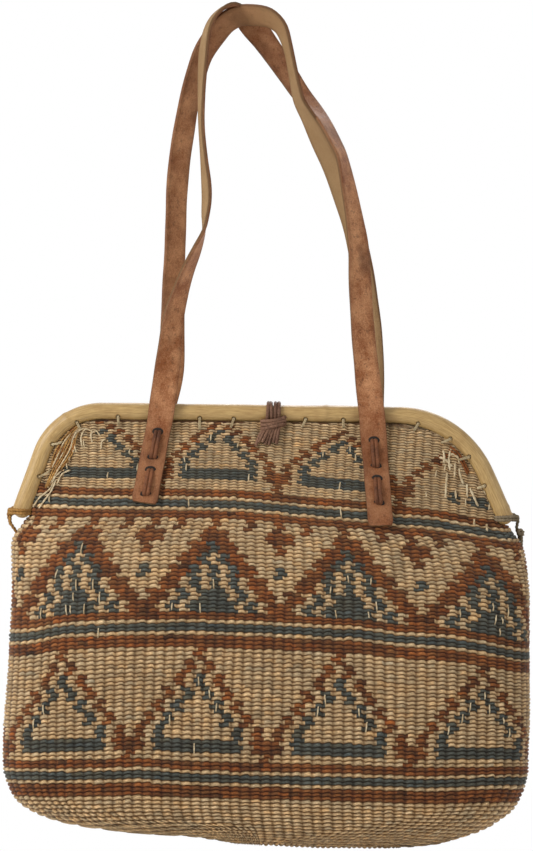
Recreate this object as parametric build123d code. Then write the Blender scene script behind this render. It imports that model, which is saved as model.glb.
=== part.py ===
from build123d import *
import math
import os

os.makedirs("parts", exist_ok=True)

# A woven carpet bag on two bent cane hoops, with two leather shoulder straps.
# Millimetres. X runs to the viewer's right, Y to the back, Z up.
# The origin lies under the middle of the mouth, on the plane that the base rests on.

# Cane hoops: one round rod each, bent at two corners
cane_diameter = 13.0
hoop_gap = 3.4
hinge_height = 240.0
bar_height = 313.0
left_hinge_x = -175.5
right_hinge_x = 172.5
left_corner_x = -150.5
right_corner_x = 138.5
left_bend_radius = 46.0
right_bend_radius = 70.0
hinge_hole_diameter = 3.0

# Woven body: a soft shell whose warp cords stand out as upright ribs
left_half_width = 185.0
right_half_width = 190.0
half_depth = 57.0
mouth_half_depth = 11.0
wall = 4.0
rib_count = 128
rib_height = 1.4
corner_squareness = 4.5
flap_bulge_power = 2.5
fit_clearance = 0.3

# Twine stitches that hold the cloth to each hoop
twine_diameter = 1.3
stitch_count = 15
stitch_end_distance = 27.0
stitch_depth = 12.0
stitch_hole_diameter = 2.2

# Leather straps
strap_width = 18.5
strap_thickness = 2.6
strap_left_x = -76.0
strap_right_x = 74.5
left_tab_end_height = 248.0
right_tab_end_height = 234.0
left_tab_lean = 14.0
right_tab_lean = 11.0
tab_slope_share = 1.1

# Thong that laces each strap tab to the cloth, two strands side by side
lace_diameter = 1.7
lace_strand_gap = 0.2
lace_knot_diameter = 5.0
lace_stitch_length = 18.0
lace_stitch_gap = 9.0
left_lace_drop = 14.0
right_lace_drop = 18.0

# Cord lashings at the hinges
cord_diameter = 2.4
cord_knot_diameter = 6.5
cord_tail_length = 9.0
cord_anchor_drop = 16.0
left_knot_drop = 0.0
right_knot_drop = 10.0

# Thong closure round the front bar
closure_x = 4.0
closure_strands = 4
closure_strand_pitch = 2.0
closure_wrap_width = 19.0
closure_wrap_height = 8.5
closure_wrap_depth = 5.0
closure_tail_length = 15.0

cane_radius = cane_diameter / 2
hoop_y = cane_radius + hoop_gap / 2
twine_radius = twine_diameter / 2
lace_radius = lace_diameter / 2
cord_radius = cord_diameter / 2
FRONT = -1
REAR = 1


# Hoop lines
def unit(a, b):
    """Unit vector from a to b in the XZ plane."""
    length = math.dist(a, b)
    return (b[0] - a[0]) / length, (b[1] - a[1]) / length


def hoop_points(inset):
    """Left end, left corner, right corner and right end of the hoop's line, moved inwards by inset."""
    left_end = (left_hinge_x, hinge_height)
    left_corner = (left_corner_x, bar_height)
    right_corner = (right_corner_x, bar_height)
    right_end = (right_hinge_x, hinge_height)
    left_way = unit(left_end, left_corner)
    right_way = unit(right_end, right_corner)
    left_in = (left_way[1], -left_way[0])
    right_in = (-right_way[1], right_way[0])
    low = bar_height - inset
    moved_left = (left_end[0] + inset * left_in[0], left_end[1] + inset * left_in[1])
    moved_right = (right_end[0] + inset * right_in[0], right_end[1] + inset * right_in[1])
    up_left = (low - moved_left[1]) / left_way[1]
    up_right = (low - moved_right[1]) / right_way[1]
    return [
        moved_left,
        (moved_left[0] + up_left * left_way[0], low),
        (moved_right[0] + up_right * right_way[0], low),
        moved_right,
    ]


def hoop_line(inset, y):
    """The hoop's bent centre line, or a line parallel to it, in the plane at y."""
    points = [Vector(x, y, z) for x, z in hoop_points(inset)]
    radii = [left_bend_radius - inset, right_bend_radius - inset]
    return FilletPolyline(*points, radius=radii)


def hoop_inner_x(height, side):
    """X of the hoop's inner edge at a height, on the left (-1) or right (1) arm."""
    points = hoop_points(cane_radius)
    end, corner = (points[0], points[1]) if side < 0 else (points[3], points[2])
    share = (height - end[1]) / (corner[1] - end[1])
    return end[0] + share * (corner[0] - end[0])


# Body outline
# Rows of the base: height, then how far the left side, right side and front stand in from the belly,
# and how the wall's thickness splits into a lift and an inset there
base_rows = [
    (0.0, 140.0, 85.0, 25.0, 1.0, 0.5),
    (5.0, 100.0, 60.0, 19.0, 1.0, 0.5),
    (11.0, 61.0, 42.0, 14.0, 1.0, 0.55),
    (20.0, 31.0, 24.0, 9.5, 0.75, 0.75),
    (36.0, 7.0, 6.0, 5.0, 0.3, 0.95),
]
# Rows of the belly: share of the hinge height, the same three insets, and how far the square outline
# has turned into the pointed one of the mouth
belly_rows = [
    (0.25, 0.0, 0.0, 2.0, 0.0),
    (0.5, 1.0, -1.0, 0.0, 0.0),
    (0.75, 3.0, 0.0, 4.0, 0.25),
    (0.9, 3.5, 3.5, 12.0, 0.6),
]
# Rows of the mouth: share of the way from hinge to bar, and how far the flap still stands out
mouth_rows = [(0.0, 25.0), (0.3, 16.0), (0.62, 7.5), (1.02, 0.0)]
mouth_left_half_width = -left_hinge_x - cane_radius + 1.0
mouth_right_half_width = right_hinge_x - cane_radius + 7.0
end_share = 0.6


def body_rows():
    """Every row: height, half-widths, half-depth, bulge ends, mouth share, wall lift and wall inset."""
    rows = []
    for height, left, right, depth, lift, inset in base_rows:
        rows.append((height, left_half_width - left, right_half_width - right, half_depth - depth,
                     0.0, lift, inset))
    for share, left, right, depth, pointed in belly_rows:
        rows.append((share * hinge_height, left_half_width - left, right_half_width - right,
                     half_depth - depth, pointed, 0.0, 1.0))
    for share, bulge in mouth_rows:
        height = hinge_height + share * (bar_height - hinge_height)
        rows.append((height, mouth_left_half_width, mouth_right_half_width,
                     mouth_half_depth + bulge, 1.0, 0.0, 1.0))
    return rows


def quarter_shares(steps):
    """Even steps along a quarter of the belly's outline, as shares of its half-width and half-depth."""
    dense = 4000
    power = 2 / corner_squareness
    curve = []
    for i in range(dense + 1):
        angle = math.pi / 2 * (1 - i / dense)
        curve.append((max(math.cos(angle), 0.0) ** power, max(math.sin(angle), 0.0) ** power))
    curve[0], curve[-1] = (0.0, 1.0), (1.0, 0.0)
    width = (left_half_width + right_half_width) / 2
    lengths = [0.0]
    for a, b in zip(curve, curve[1:]):
        lengths.append(lengths[-1] + math.hypot((b[0] - a[0]) * width, (b[1] - a[1]) * half_depth))
    shares, j = [], 0
    for k in range(steps + 1):
        target = lengths[-1] * k / steps
        while j < dense - 1 and lengths[j + 1] < target:
            j += 1
        t = (target - lengths[j]) / (lengths[j + 1] - lengths[j])
        a, b = curve[j], curve[j + 1]
        shares.append((a[0] + t * (b[0] - a[0]), a[1] + t * (b[1] - a[1])))
    return shares


quarter = quarter_shares(rib_count // 2)


def row_point(row, share, side, way):
    """One point of a row's outline: side -1 left or 1 right, way -1 front or 1 rear."""
    height, left, right, depth, pointed, _, _ = row
    across, deep = share
    width = left if side < 0 else right
    belly = left_half_width if side < 0 else right_half_width
    ratio = width / belly
    straight = (1 - pointed) * 0.85 * min(max((ratio - 0.6) / 0.4, 0.0), 1.0) * ratio
    if across <= straight:
        x = belly * across
    else:
        x = belly * (straight + (ratio - straight) * (across - straight) / (1 - straight))
    square = depth * deep
    reach = min(abs(hoop_inner_x(max(height, hinge_height), side)), width)
    bulge = max(0.0, 1 - (x / reach) ** flap_bulge_power)
    end = mouth_half_depth * min(1.0, deep / end_share)
    lens = end + max(depth - mouth_half_depth, 0.0) * bulge
    return side * x, way * ((1 - pointed) * square + pointed * lens)


def row_ring(row, stride):
    """The row's outline as points, starting at the front middle and running to the right."""
    steps = len(quarter) - 1
    ring = [row_point(row, quarter[k], 1, FRONT) for k in range(0, steps, stride)]
    ring += [row_point(row, quarter[k], 1, REAR) for k in range(steps, 0, -stride)]
    ring += [row_point(row, quarter[k], -1, REAR) for k in range(0, steps, stride)]
    ring += [row_point(row, quarter[k], -1, FRONT) for k in range(steps, 0, -stride)]
    return ring


def moved_ring(ring, distances):
    """The ring with each point moved outwards by its own distance."""
    moved = []
    for k, point in enumerate(ring):
        before, after = ring[k - 1], ring[(k + 1) % len(ring)]
        dx, dy = after[0] - before[0], after[1] - before[1]
        length = math.hypot(dx, dy)
        move = distances[k]
        moved.append((point[0] + move * dy / length, point[1] - move * dx / length))
    return moved


def ring_wire(ring, height):
    return Wire.make_polygon([Vector(x, y, height) for x, y in ring], close=True)


def cloth_depth(x, height):
    """Distance from the middle plane to the outer face of the cloth, between the ribs' middles."""
    side = -1 if x < 0 else 1
    rows = body_rows()
    for low, high in zip(rows, rows[1:]):
        if low[0] <= height <= high[0]:
            break
    depths = []
    for row in (low, high):
        points = [row_point(row, share, side, REAR) for share in quarter]
        for a, b in zip(points, points[1:]):
            if abs(a[0]) <= abs(x) <= abs(b[0]):
                t = (abs(x) - abs(a[0])) / max(abs(b[0]) - abs(a[0]), 1e-9)
                depths.append(a[1] + t * (b[1] - a[1]))
                break
    t = (height - low[0]) / (high[0] - low[0])
    return depths[0] + t * (depths[1] - depths[0])


def cord_path(points, radius, sides=6):
    """A cord of the given radius with mitred corners along a polyline; closed if it ends where it starts."""
    path = Polyline(*points)
    start, ahead = Vector(*points[0]), Vector(*points[1])
    profile = Plane(origin=start, z_dir=ahead - start) * RegularPolygon(radius, sides)
    return sweep(profile, path=path, transition=Transition.RIGHT)


def knot(diameter):
    """A small tight knot: a cube whose edges are cut back until it is nearly round."""
    return chamfer(Box(diameter, diameter, diameter).edges(), 0.29 * diameter)


# Cane hoops
def stitch_places():
    """Where each stitch sits along the hoop: its point on the centre line and the inward direction."""
    line = hoop_line(0, 0)
    length = line.length
    step = (length - 2 * stitch_end_distance) / (stitch_count - 1)
    places = []
    for k in range(stitch_count):
        distance = stitch_end_distance + k * step
        point = line.position_at(distance, position_mode=PositionMode.LENGTH)
        way = line.tangent_at(distance, position_mode=PositionMode.LENGTH)
        places.append((point.X, point.Z, way.Z, -way.X))
    return places


def is_under_closure(place):
    """The thong closure takes the place of the stitch that would lie under it."""
    reach = closure_wrap_width / 2 + twine_diameter
    return abs(place[0] - closure_x) < reach


stitches = [place for place in stitch_places() if not is_under_closure(place)]


def cane_hoop(way):
    line = hoop_line(0, way * hoop_y)
    start = line.position_at(0)
    profile = Plane(origin=start, z_dir=line.tangent_at(0)) * Circle(cane_radius)
    hoop = sweep(profile, path=line)
    for x in (left_hinge_x, right_hinge_x):
        hoop += Pos(x, way * hoop_y, hinge_height) * Sphere(cane_radius)
    holes = []
    for x in (left_hinge_x, right_hinge_x):
        drill = Cylinder(hinge_hole_diameter / 2, 3 * cane_diameter)
        holes.append(Pos(x, way * hoop_y, hinge_height) * Rot(0, 90, 0) * drill)
    for x, z, _, _ in stitches:
        drill = Cylinder(stitch_hole_diameter / 2, 2 * cane_diameter)
        holes.append(Pos(x, way * hoop_y, z) * Rot(90, 0, 0) * drill)
    return hoop - holes


# Stitches
def frame_stitches(way):
    """Closed twine loops through the cane and the cloth just inside it."""
    clear = twine_radius + 0.1
    outer = hoop_y + cane_radius + clear
    inner = hoop_y - cane_radius - clear
    loops = []
    for x, z, in_x, in_z in stitches:
        cx, cz = x + stitch_depth * in_x, z + stitch_depth * in_z
        face = cloth_depth(cx, cz)
        rib = rib_height / 2
        section = [
            (0.0, outer), (3.0, outer),
            (stitch_depth, face + rib + clear + 0.2), (stitch_depth, face - wall - clear - 0.3),
            (3.0, inner), (0.0, inner), (0.0, outer),
        ]
        middle = (section[0][1] + section[-2][1]) / 2
        section = [(0.0, middle)] + section[:-1] + [(0.0, middle)]
        points = [(x + s * in_x, way * y, z + s * in_z) for s, y in section[::-1]]
        loops.append(cord_path(points, twine_radius))
    return Compound(children=loops)


# Straps
class Ribbon:
    """A flat strap through stations of place, turn about its own length and width."""

    def __init__(self, stations, way):
        self.stations = stations
        self.way = way

    def frames(self):
        places = [Vector(*s[:3]) for s in self.stations]
        frames = []
        for k, station in enumerate(self.stations):
            before, after = places[max(k - 1, 0)], places[min(k + 1, len(places) - 1)]
            along = (after - before).normalized()
            face = Vector(0, self.way, 0)
            outward = Vector(-along.Z, 0, along.X)
            turn = math.radians(station[3])
            grain = face * math.cos(turn) + outward * math.sin(turn)
            grain = (grain - along * grain.dot(along)).normalized()
            frames.append((places[k], along, along.cross(grain), station[4]))
        return frames

    def solid(self):
        sections = []
        for place, along, across, width in self.frames():
            plane = Plane(origin=place, x_dir=across, z_dir=along)
            sections.append(plane * Rectangle(width, strap_thickness))
        return loft(sections, ruled=True)


def cloth_turn(x, height):
    """How far the cloth faces away from straight ahead at a place, in degrees outwards."""
    step = 5.0
    inward = cloth_depth(abs(x) - step, height) if x > 0 else cloth_depth(step - abs(x), height)
    outward = cloth_depth(abs(x) + step, height) if x > 0 else cloth_depth(-step - abs(x), height)
    return math.degrees(math.atan2(inward - outward, 2 * step))


def tab_line(bar_x, end_height, lean, way):
    """Stations of a strap tab (x, y, z, turn), from its end up to the bar, following the cloth."""
    bar_y = hoop_y + cane_radius + 0.1 + twine_diameter + fit_clearance + strap_thickness / 2
    seat = rib_height / 2 + tab_slope_share * (fit_clearance + strap_thickness / 2) + 0.35
    heights = [end_height]
    for share, _ in mouth_rows:
        height = hinge_height + share * (bar_height - hinge_height)
        if end_height + 6 < height < bar_height - 20:
            heights.append(height)
    line = []
    for height in heights:
        drop = (bar_height - height) / (bar_height - end_height)
        x = bar_x - lean * drop
        depth = max(cloth_depth(x, height) + seat, bar_y)
        line.append((x, way * depth, height, cloth_turn(x, height)))
    line.append((bar_x, way * bar_y, bar_height, 0.0))
    return line


# Free part of each strap, from the left side over the top to the right side:
# x, distance from the middle plane, height above the bar, turn, in the order of the strap's length
front_free = [
    (-70.0, 17.0, 32.0, 12.0), (-66.5, 16.0, 60.0, 25.0), (-57.0, 15.0, 96.0, 55.0),
    (-49.0, 15.0, 125.0, 85.0), (-43.5, 15.0, 147.0, 105.0), (-43.5, 16.0, 172.0, 108.0),
    (-47.0, 17.0, 212.0, 104.0), (-47.5, 16.0, 240.0, 100.0), (-44.0, 15.0, 262.0, 98.0),
    (-34.0, 14.0, 282.0, 96.0), (-19.0, 14.0, 287.0, 94.0), (-6.0, 14.0, 278.0, 80.0),
    (3.5, 14.0, 264.0, 60.0), (13.0, 14.5, 245.0, 56.0), (23.0, 15.0, 227.0, 62.0),
    (36.5, 15.5, 199.0, 68.0), (53.0, 16.0, 166.0, 66.0), (58.0, 16.5, 146.0, 56.0),
    (62.0, 17.0, 120.0, 42.0), (66.0, 17.5, 92.0, 26.0), (68.5, 17.5, 60.0, 18.0),
    (71.0, 17.5, 32.0, 12.0),
]
rear_free = [
    (-68.0, 17.0, 40.0, 8.0), (-66.0, 17.0, 75.0, 12.0), (-64.5, 17.0, 110.0, 14.0),
    (-62.0, 17.0, 140.0, 16.0), (-58.0, 16.5, 180.0, 18.0), (-53.0, 16.0, 206.0, 22.0),
    (-44.5, 16.0, 232.0, 40.0), (-34.5, 15.5, 250.0, 60.0), (-23.0, 15.0, 266.0, 62.0),
    (-8.0, 15.0, 277.0, 58.0), (3.0, 15.0, 277.0, 66.0), (10.5, 15.0, 264.0, 76.0),
    (16.0, 15.5, 245.0, 72.0), (25.0, 16.0, 213.0, 60.0), (35.0, 16.5, 180.0, 50.0),
    (45.0, 17.0, 155.0, 40.0), (56.5, 17.0, 128.0, 30.0), (64.5, 17.0, 100.0, 20.0),
    (70.0, 17.0, 70.0, 12.0), (74.0, 17.0, 40.0, 6.0),
]
end_taper = 1.5
curve_steps = 2


def smooth_run(points, steps):
    """The stations with a curve drawn through them, in the given steps between each pair."""
    run = []
    padded = [points[0]] + list(points) + [points[-1]]
    for a, b, c, d in zip(padded, padded[1:], padded[2:], padded[3:]):
        for k in range(steps):
            t = k / steps
            run.append(tuple(
                0.5 * (2 * q + (r - p) * t + (2 * p - 5 * q + 4 * r - o) * t ** 2
                       + (3 * q - p - 3 * r + o) * t ** 3)
                for p, q, r, o in zip(a, b, c, d)
            ))
    return run + [points[-1]]


def tab_stations(tab):
    """Stations from a tab's tapered end up to the bar."""
    first, second = tab[0], tab[1]
    share = end_taper / (second[2] - first[2])
    shoulder = tuple(a + share * (b - a) for a, b in zip(first, second))
    narrow = strap_width - 2 * end_taper
    return [first + (narrow,)] + [station + (strap_width,) for station in [shoulder] + tab[1:]]


def strap_stations(free, way):
    left = tab_stations(tab_line(strap_left_x, left_tab_end_height, left_tab_lean, way))
    right = tab_stations(tab_line(strap_right_x, right_tab_end_height, -right_tab_lean, way))
    loop = [(x, way * y, bar_height + rise, turn, strap_width) for x, y, rise, turn in free]
    return left[:-1] + smooth_run([left[-1]] + loop + [right[-1]], curve_steps) + right[-2::-1]


def lace_holes(bar_x, end_height, lean, top_drop):
    """Centres (x, z) of the four lacing holes down the middle of a tab."""
    holes = []
    height = bar_height - top_drop
    for gap in (0.0, lace_stitch_length, lace_stitch_gap, lace_stitch_length):
        height -= gap
        drop = (bar_height - height) / (bar_height - end_height)
        holes.append((bar_x - lean * drop, height))
    return holes


def tab_depth(bar_x, end_height, lean, height):
    """Distance of the tab's centre line from the middle plane at a height."""
    line = [(z, abs(y)) for _, y, z, _ in tab_line(bar_x, end_height, lean, REAR)]
    for (z1, y1), (z2, y2) in zip(line, line[1:]):
        if z1 <= height <= z2:
            return y1 + (height - z1) / (z2 - z1) * (y2 - y1)


tabs = {
    "left": (strap_left_x, left_tab_end_height, left_tab_lean, left_lace_drop),
    "right": (strap_right_x, right_tab_end_height, -right_tab_lean, right_lace_drop),
}
slot_width = 2 * lace_diameter + lace_strand_gap + 2 * fit_clearance
slot_height = lace_diameter + 2 * fit_clearance


def lace_slot_tools(way):
    """Upright slots for the laces of one side of the bag, cut through strap and cloth alike."""
    tools = []
    for tab in tabs.values():
        for x, z in lace_holes(*tab):
            depth = 60.0
            tool = Box(slot_width, depth, slot_height)
            tools.append(Pos(x, way * (depth / 2 + 1.0), z) * tool)
    return tools


def lacing(side, way):
    """Two strands that run out, down, in, down, out, down and in, between two knots inside."""
    tab = tabs[side]
    holes = lace_holes(*tab)
    outer = strap_thickness / 2 + lace_radius + 0.15
    inner = wall + rib_height / 2 + lace_radius + 0.3
    knot_inner = wall + tab_slope_share * (lace_knot_diameter / 2 + fit_clearance)
    strands = []
    for shift in (-0.5, 0.5):
        aside = shift * (lace_diameter + lace_strand_gap)
        points = []
        for k, (x, z) in enumerate(holes):
            front = tab_depth(*tab[:3], z) + outer
            back = cloth_depth(x, z) - inner
            pair = [(x + aside, way * front, z), (x + aside, way * back, z)]
            points += pair[::-1] if k % 2 == 0 else pair
        strands.append(cord_path(points, lace_radius, 8))
    lace = strands[0] + strands[1]
    for x, z in (holes[0], holes[3]):
        knot_y = cloth_depth(x, z) - knot_inner
        lace += Pos(x, way * knot_y, z) * knot(lace_knot_diameter)
    return lace


# Hinge lashings
def lashing_loops(x, side, radius):
    """The two turns of cord of one lashing: round both cane ends, and down through the cloth."""
    reach = cane_radius / abs(unit((0, 0), (arm_lean(side), bar_height - hinge_height))[1])
    outer_x = x + side * (reach + fit_clearance + cord_radius)
    inner_x = x - side * (reach + fit_clearance + cord_radius)
    level = [
        (outer_x, 0, hinge_height), (outer_x, -hoop_y, hinge_height), (inner_x, -hoop_y, hinge_height),
        (inner_x, hoop_y, hinge_height), (outer_x, hoop_y, hinge_height), (outer_x, 0, hinge_height),
    ]
    low = hinge_height - cord_anchor_drop
    wall_x = side * side_x(low, side)
    upright = [
        (outer_x, 0, hinge_height),
        (wall_x + side * (rib_height + cord_radius + 1.2), 0, low),
        (wall_x - side * (wall + cord_radius + 1.5), 0, low),
        (inner_x, 0, hinge_height),
    ]
    return cord_path(level, radius) + cord_path(upright, radius), outer_x, wall_x


def arm_lean(side):
    """How far a hoop's arm leans inwards from its hinge up to its corner."""
    return left_corner_x - left_hinge_x if side < 0 else right_hinge_x - right_corner_x


def side_x(height, side):
    """Half-width of the cloth at a height, on the left or right."""
    rows = body_rows()
    for low, high in zip(rows, rows[1:]):
        if low[0] <= height <= high[0]:
            t = (height - low[0]) / (high[0] - low[0])
            k = 1 if side < 0 else 2
            return low[k] + t * (high[k] - low[k])


def hinge_lashing(x, side, knot_drop):
    loops, outer_x, _ = lashing_loops(x, side, cord_radius)
    knot_z = hinge_height - knot_drop
    knot_seat = side_x(knot_z, side) + rib_height / 2 + 2 * fit_clearance + cord_knot_diameter / 2
    knot_x = side * max(abs(outer_x) + cord_knot_diameter / 4, knot_seat)
    lashing = loops + Pos(knot_x, 0, knot_z) * knot(cord_knot_diameter)
    for lean in (-0.45, 0.3):
        start = Vector(knot_x, 0, knot_z)
        end = start + Vector(side * 3.0, lean * cord_tail_length, -cord_tail_length)
        tail = Plane(origin=start, z_dir=end - start) * RegularPolygon(cord_radius, 6)
        lashing += extrude(tail, amount=(end - start).length)
    return lashing


# Woven body
def woven_shell():
    rows = body_rows()
    count = 2 * rib_count
    outer = []
    for row in rows:
        ribs = rib_height * min(1.0, row[0] / 20.0)
        ring = moved_ring(row_ring(row, 1), [(-0.5 if k % 2 else 0.5) * ribs for k in range(count)])
        outer.append(ring_wire(ring, row[0]))
    inner = []
    for row in rows:
        ring = row_ring(row, 4)
        ring = moved_ring(ring, [-wall * row[6]] * len(ring))
        inner.append(ring_wire(ring, row[0] + wall * row[5]))
    shell = Solid.make_loft(outer, ruled=True) - Solid.make_loft(inner, ruled=True)
    return shell


def mouth_limit():
    """The space that the cloth may fill: all below the cane ends, and inside the hoops above."""
    inset = cane_radius + fit_clearance
    points = hoop_points(inset)
    deep = hinge_height - inset
    reach = 2 * (right_half_width - left_hinge_x)
    line = FilletPolyline(
        *[Vector(x, 0, z) for x, z in points],
        radius=[left_bend_radius - inset, right_bend_radius - inset],
    )
    left, right = points[0], points[3]
    foot = Polyline(
        (right[0], 0, right[1]), (right[0], 0, deep), (reach, 0, deep), (reach, 0, -deep),
        (-reach, 0, -deep), (-reach, 0, deep), (left[0], 0, deep), (left[0], 0, left[1]),
    )
    face = make_face([line, foot])
    return extrude(face, amount=2 * half_depth, both=True)


def closure_hole():
    """The slit in the front flap that the closure passes through, just under the bar."""
    width = closure_strands * closure_strand_pitch + 2 * fit_clearance
    height = 2 * (lace_diameter + fit_clearance)
    top = bar_height - cane_radius
    return Pos(closure_x, -mouth_half_depth, top - height / 2 + 0.5) * Box(width, 4 * wall, height + 1)


def woven_body():
    body = woven_shell() & mouth_limit()
    holes = []
    for x, z, in_x, in_z in stitches:
        drill = Cylinder(stitch_hole_diameter / 2, 6 * half_depth)
        holes.append(Pos(x + stitch_depth * in_x, 0, z + stitch_depth * in_z) * Rot(90, 0, 0) * drill)
    for way in (FRONT, REAR):
        holes += lace_slot_tools(way)
    for x, side in ((left_hinge_x, -1), (right_hinge_x, 1)):
        holes.append(lashing_loops(x, side, cord_radius + fit_clearance)[0])
    holes.append(closure_hole())
    return body - holes


# Closure
def closure_thong():
    ring_radius = cane_radius + 2 * fit_clearance + lace_radius
    turns = 12
    first = closure_x - (closure_strands - 1) / 2 * closure_strand_pitch
    front_y = -hoop_y - ring_radius
    wrap_z = bar_height - cane_radius + 0.5
    wrap_y = front_y - 1.4
    wrap = Pos(closure_x, wrap_y, wrap_z) * Box(closure_wrap_width, closure_wrap_depth, closure_wrap_height)
    wrap = chamfer(wrap.edges(), 1.6)
    keep_out = Pos(closure_x, -hoop_y, bar_height) * Rot(0, 90, 0)
    keep_out *= Cylinder(cane_radius + fit_clearance, 2 * closure_wrap_width)
    closure = wrap - keep_out
    for k in range(closure_strands):
        x = first + k * closure_strand_pitch
        ring = []
        for turn in range(turns + 1):
            angle = math.tau * (turn + 0.5) / turns
            ring.append((ring_radius * math.sin(angle), ring_radius * math.cos(angle)))
        half = ((ring[0][0] + ring[1][0]) / 2, (ring[0][1] + ring[1][1]) / 2)
        ring = [half] + ring[1:] + [half]
        closure += cord_path([(x, y - hoop_y, bar_height + z) for y, z in ring], lace_radius)
        spread = (k - (closure_strands - 1) / 2) * 4.0
        top = Vector(x, wrap_y, wrap_z)
        end_x = top.X + spread - 2.5
        end_z = top.Z - closure_wrap_height / 2 - closure_tail_length * (1 - 0.12 * k)
        lift = rib_height / 2 + tab_slope_share * (lace_radius + fit_clearance) + 0.2
        end = Vector(end_x, -cloth_depth(end_x, end_z) - lift, end_z)
        tail = Plane(origin=top, z_dir=end - top) * RegularPolygon(lace_radius, 6)
        closure += extrude(tail, amount=(end - top).length)
    return closure


def strap(free, way):
    ribbon = Ribbon(strap_stations(free, way), way).solid()
    return ribbon - lace_slot_tools(way)


nodes = {
    "woven_body": woven_body(),
    "left_hinge_lashing": hinge_lashing(left_hinge_x, -1, left_knot_drop),
    "right_hinge_lashing": hinge_lashing(right_hinge_x, 1, right_knot_drop),
    "front_cane_hoop": cane_hoop(FRONT),
    "rear_cane_hoop": cane_hoop(REAR),
    "front_frame_stitches": frame_stitches(FRONT),
    "rear_frame_stitches": frame_stitches(REAR),
    "front_strap": strap(front_free, FRONT),
    "rear_strap": strap(rear_free, REAR),
    "front_left_lacing": lacing("left", FRONT),
    "front_right_lacing": lacing("right", FRONT),
    "rear_left_lacing": lacing("left", REAR),
    "rear_right_lacing": lacing("right", REAR),
    "closure_thong": closure_thong(),
}

for name, shape in nodes.items():
    export_step(shape, f"parts/{name}.step")
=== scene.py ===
import bmesh
import bpy
import math
import numpy as np
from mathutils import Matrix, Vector


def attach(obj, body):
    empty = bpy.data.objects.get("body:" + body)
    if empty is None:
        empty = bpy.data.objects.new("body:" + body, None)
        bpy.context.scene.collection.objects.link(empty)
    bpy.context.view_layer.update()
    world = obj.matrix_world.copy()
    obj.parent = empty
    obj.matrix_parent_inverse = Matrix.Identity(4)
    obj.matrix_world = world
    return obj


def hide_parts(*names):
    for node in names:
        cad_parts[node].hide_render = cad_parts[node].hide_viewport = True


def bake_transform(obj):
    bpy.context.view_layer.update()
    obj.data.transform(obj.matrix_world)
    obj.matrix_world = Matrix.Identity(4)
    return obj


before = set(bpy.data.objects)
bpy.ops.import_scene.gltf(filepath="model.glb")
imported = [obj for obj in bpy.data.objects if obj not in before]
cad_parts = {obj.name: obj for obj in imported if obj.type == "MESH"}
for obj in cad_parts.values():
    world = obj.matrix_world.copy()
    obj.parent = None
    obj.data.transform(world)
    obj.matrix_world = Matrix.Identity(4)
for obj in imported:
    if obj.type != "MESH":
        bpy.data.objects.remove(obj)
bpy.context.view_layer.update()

# Woven body
# A sisal basket bag: upright warp cords covered by twined weft, so that the cloth shows ribs crossed by
# short pillows of yarn. It is one piece from rim to rim; here its front and rear halves meet at the sides
# and under the base, and above the hinges each half turns with its own hoop.
HINGE_HEIGHT = 0.240
BAR_HEIGHT = 0.313
LEFT_HINGE_X, RIGHT_HINGE_X = -0.1755, 0.1725
LEFT_CORNER_X, RIGHT_CORNER_X = -0.1505, 0.1385
LEFT_BEND_RADIUS, RIGHT_BEND_RADIUS = 0.046, 0.070
CANE_RADIUS = 0.0065
HOOP_Y = 0.0082
LEFT_HALF_WIDTH, RIGHT_HALF_WIDTH = 0.185, 0.190
HALF_DEPTH = 0.057
MOUTH_HALF_DEPTH = 0.011
WALL = 0.0038
QUARTER_RIBS = 32
CORNER_SQUARENESS = 4.5
WEAVE_RELIEF = 0.0019
COURSE_ARCH = 0.26
COURSE_SLANT = 0.10
COLUMNS_PER_RIB = 4
ROWS_PER_COURSE = 3
FIRST_COURSE, PLAIN_COURSE = -20, 109
BASE_COURSE_LENGTH = 0.0030
RIM_OVERLAP = 0.0006
BASE_HALF_WIDTH = 0.032
BASE_ROWS = 14
COURSE_DRAWS, CELL_DRAWS = 160, 200
RIB_WANDER, COURSE_WANDER, CELL_WANDER, PILLOW_SPREAD = 0.035, 0.05, 0.09, 0.10
SHADE_SPREAD, HUE_SPREAD = 0.13, 0.045
WAVE_HEIGHT = 0.0006

# Height, left and right half-width, half-depth, turn to the pointed outline of the mouth
profile_rows = np.array([
    (0.000, 0.022, 0.100, 0.032, 0.00),
    (0.0055, 0.050, 0.127, 0.038, 0.00),
    (0.011, 0.096, 0.143, 0.043, 0.00),
    (0.0205, 0.150, 0.164, 0.0475, 0.00),
    (0.036, 0.1765, 0.182, 0.052, 0.00),
    (0.060, 0.1842, 0.190, 0.055, 0.00),
    (0.120, 0.1818, 0.191, 0.057, 0.00),
    (0.180, 0.1800, 0.190, 0.053, 0.25),
    (0.216, 0.1815, 0.1865, 0.045, 0.60),
    (0.240, 0.170, 0.173, 0.036, 1.00),
    (0.2619, 0.170, 0.173, 0.027, 1.00),
    (0.2853, 0.170, 0.173, 0.0185, 1.00),
    (0.3145, 0.170, 0.173, 0.011, 1.00),
])
# Where the weft courses lie on the front's middle line: course, height
course_heights = np.array([
    (-20, 0.3280), (-9, 0.3077), (18, 0.2580), (20, 0.2530), (26, 0.2378), (50, 0.1702),
    (52, 0.1651), (59, 0.1450), (85, 0.0635), (94, 0.0372),
])


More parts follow.
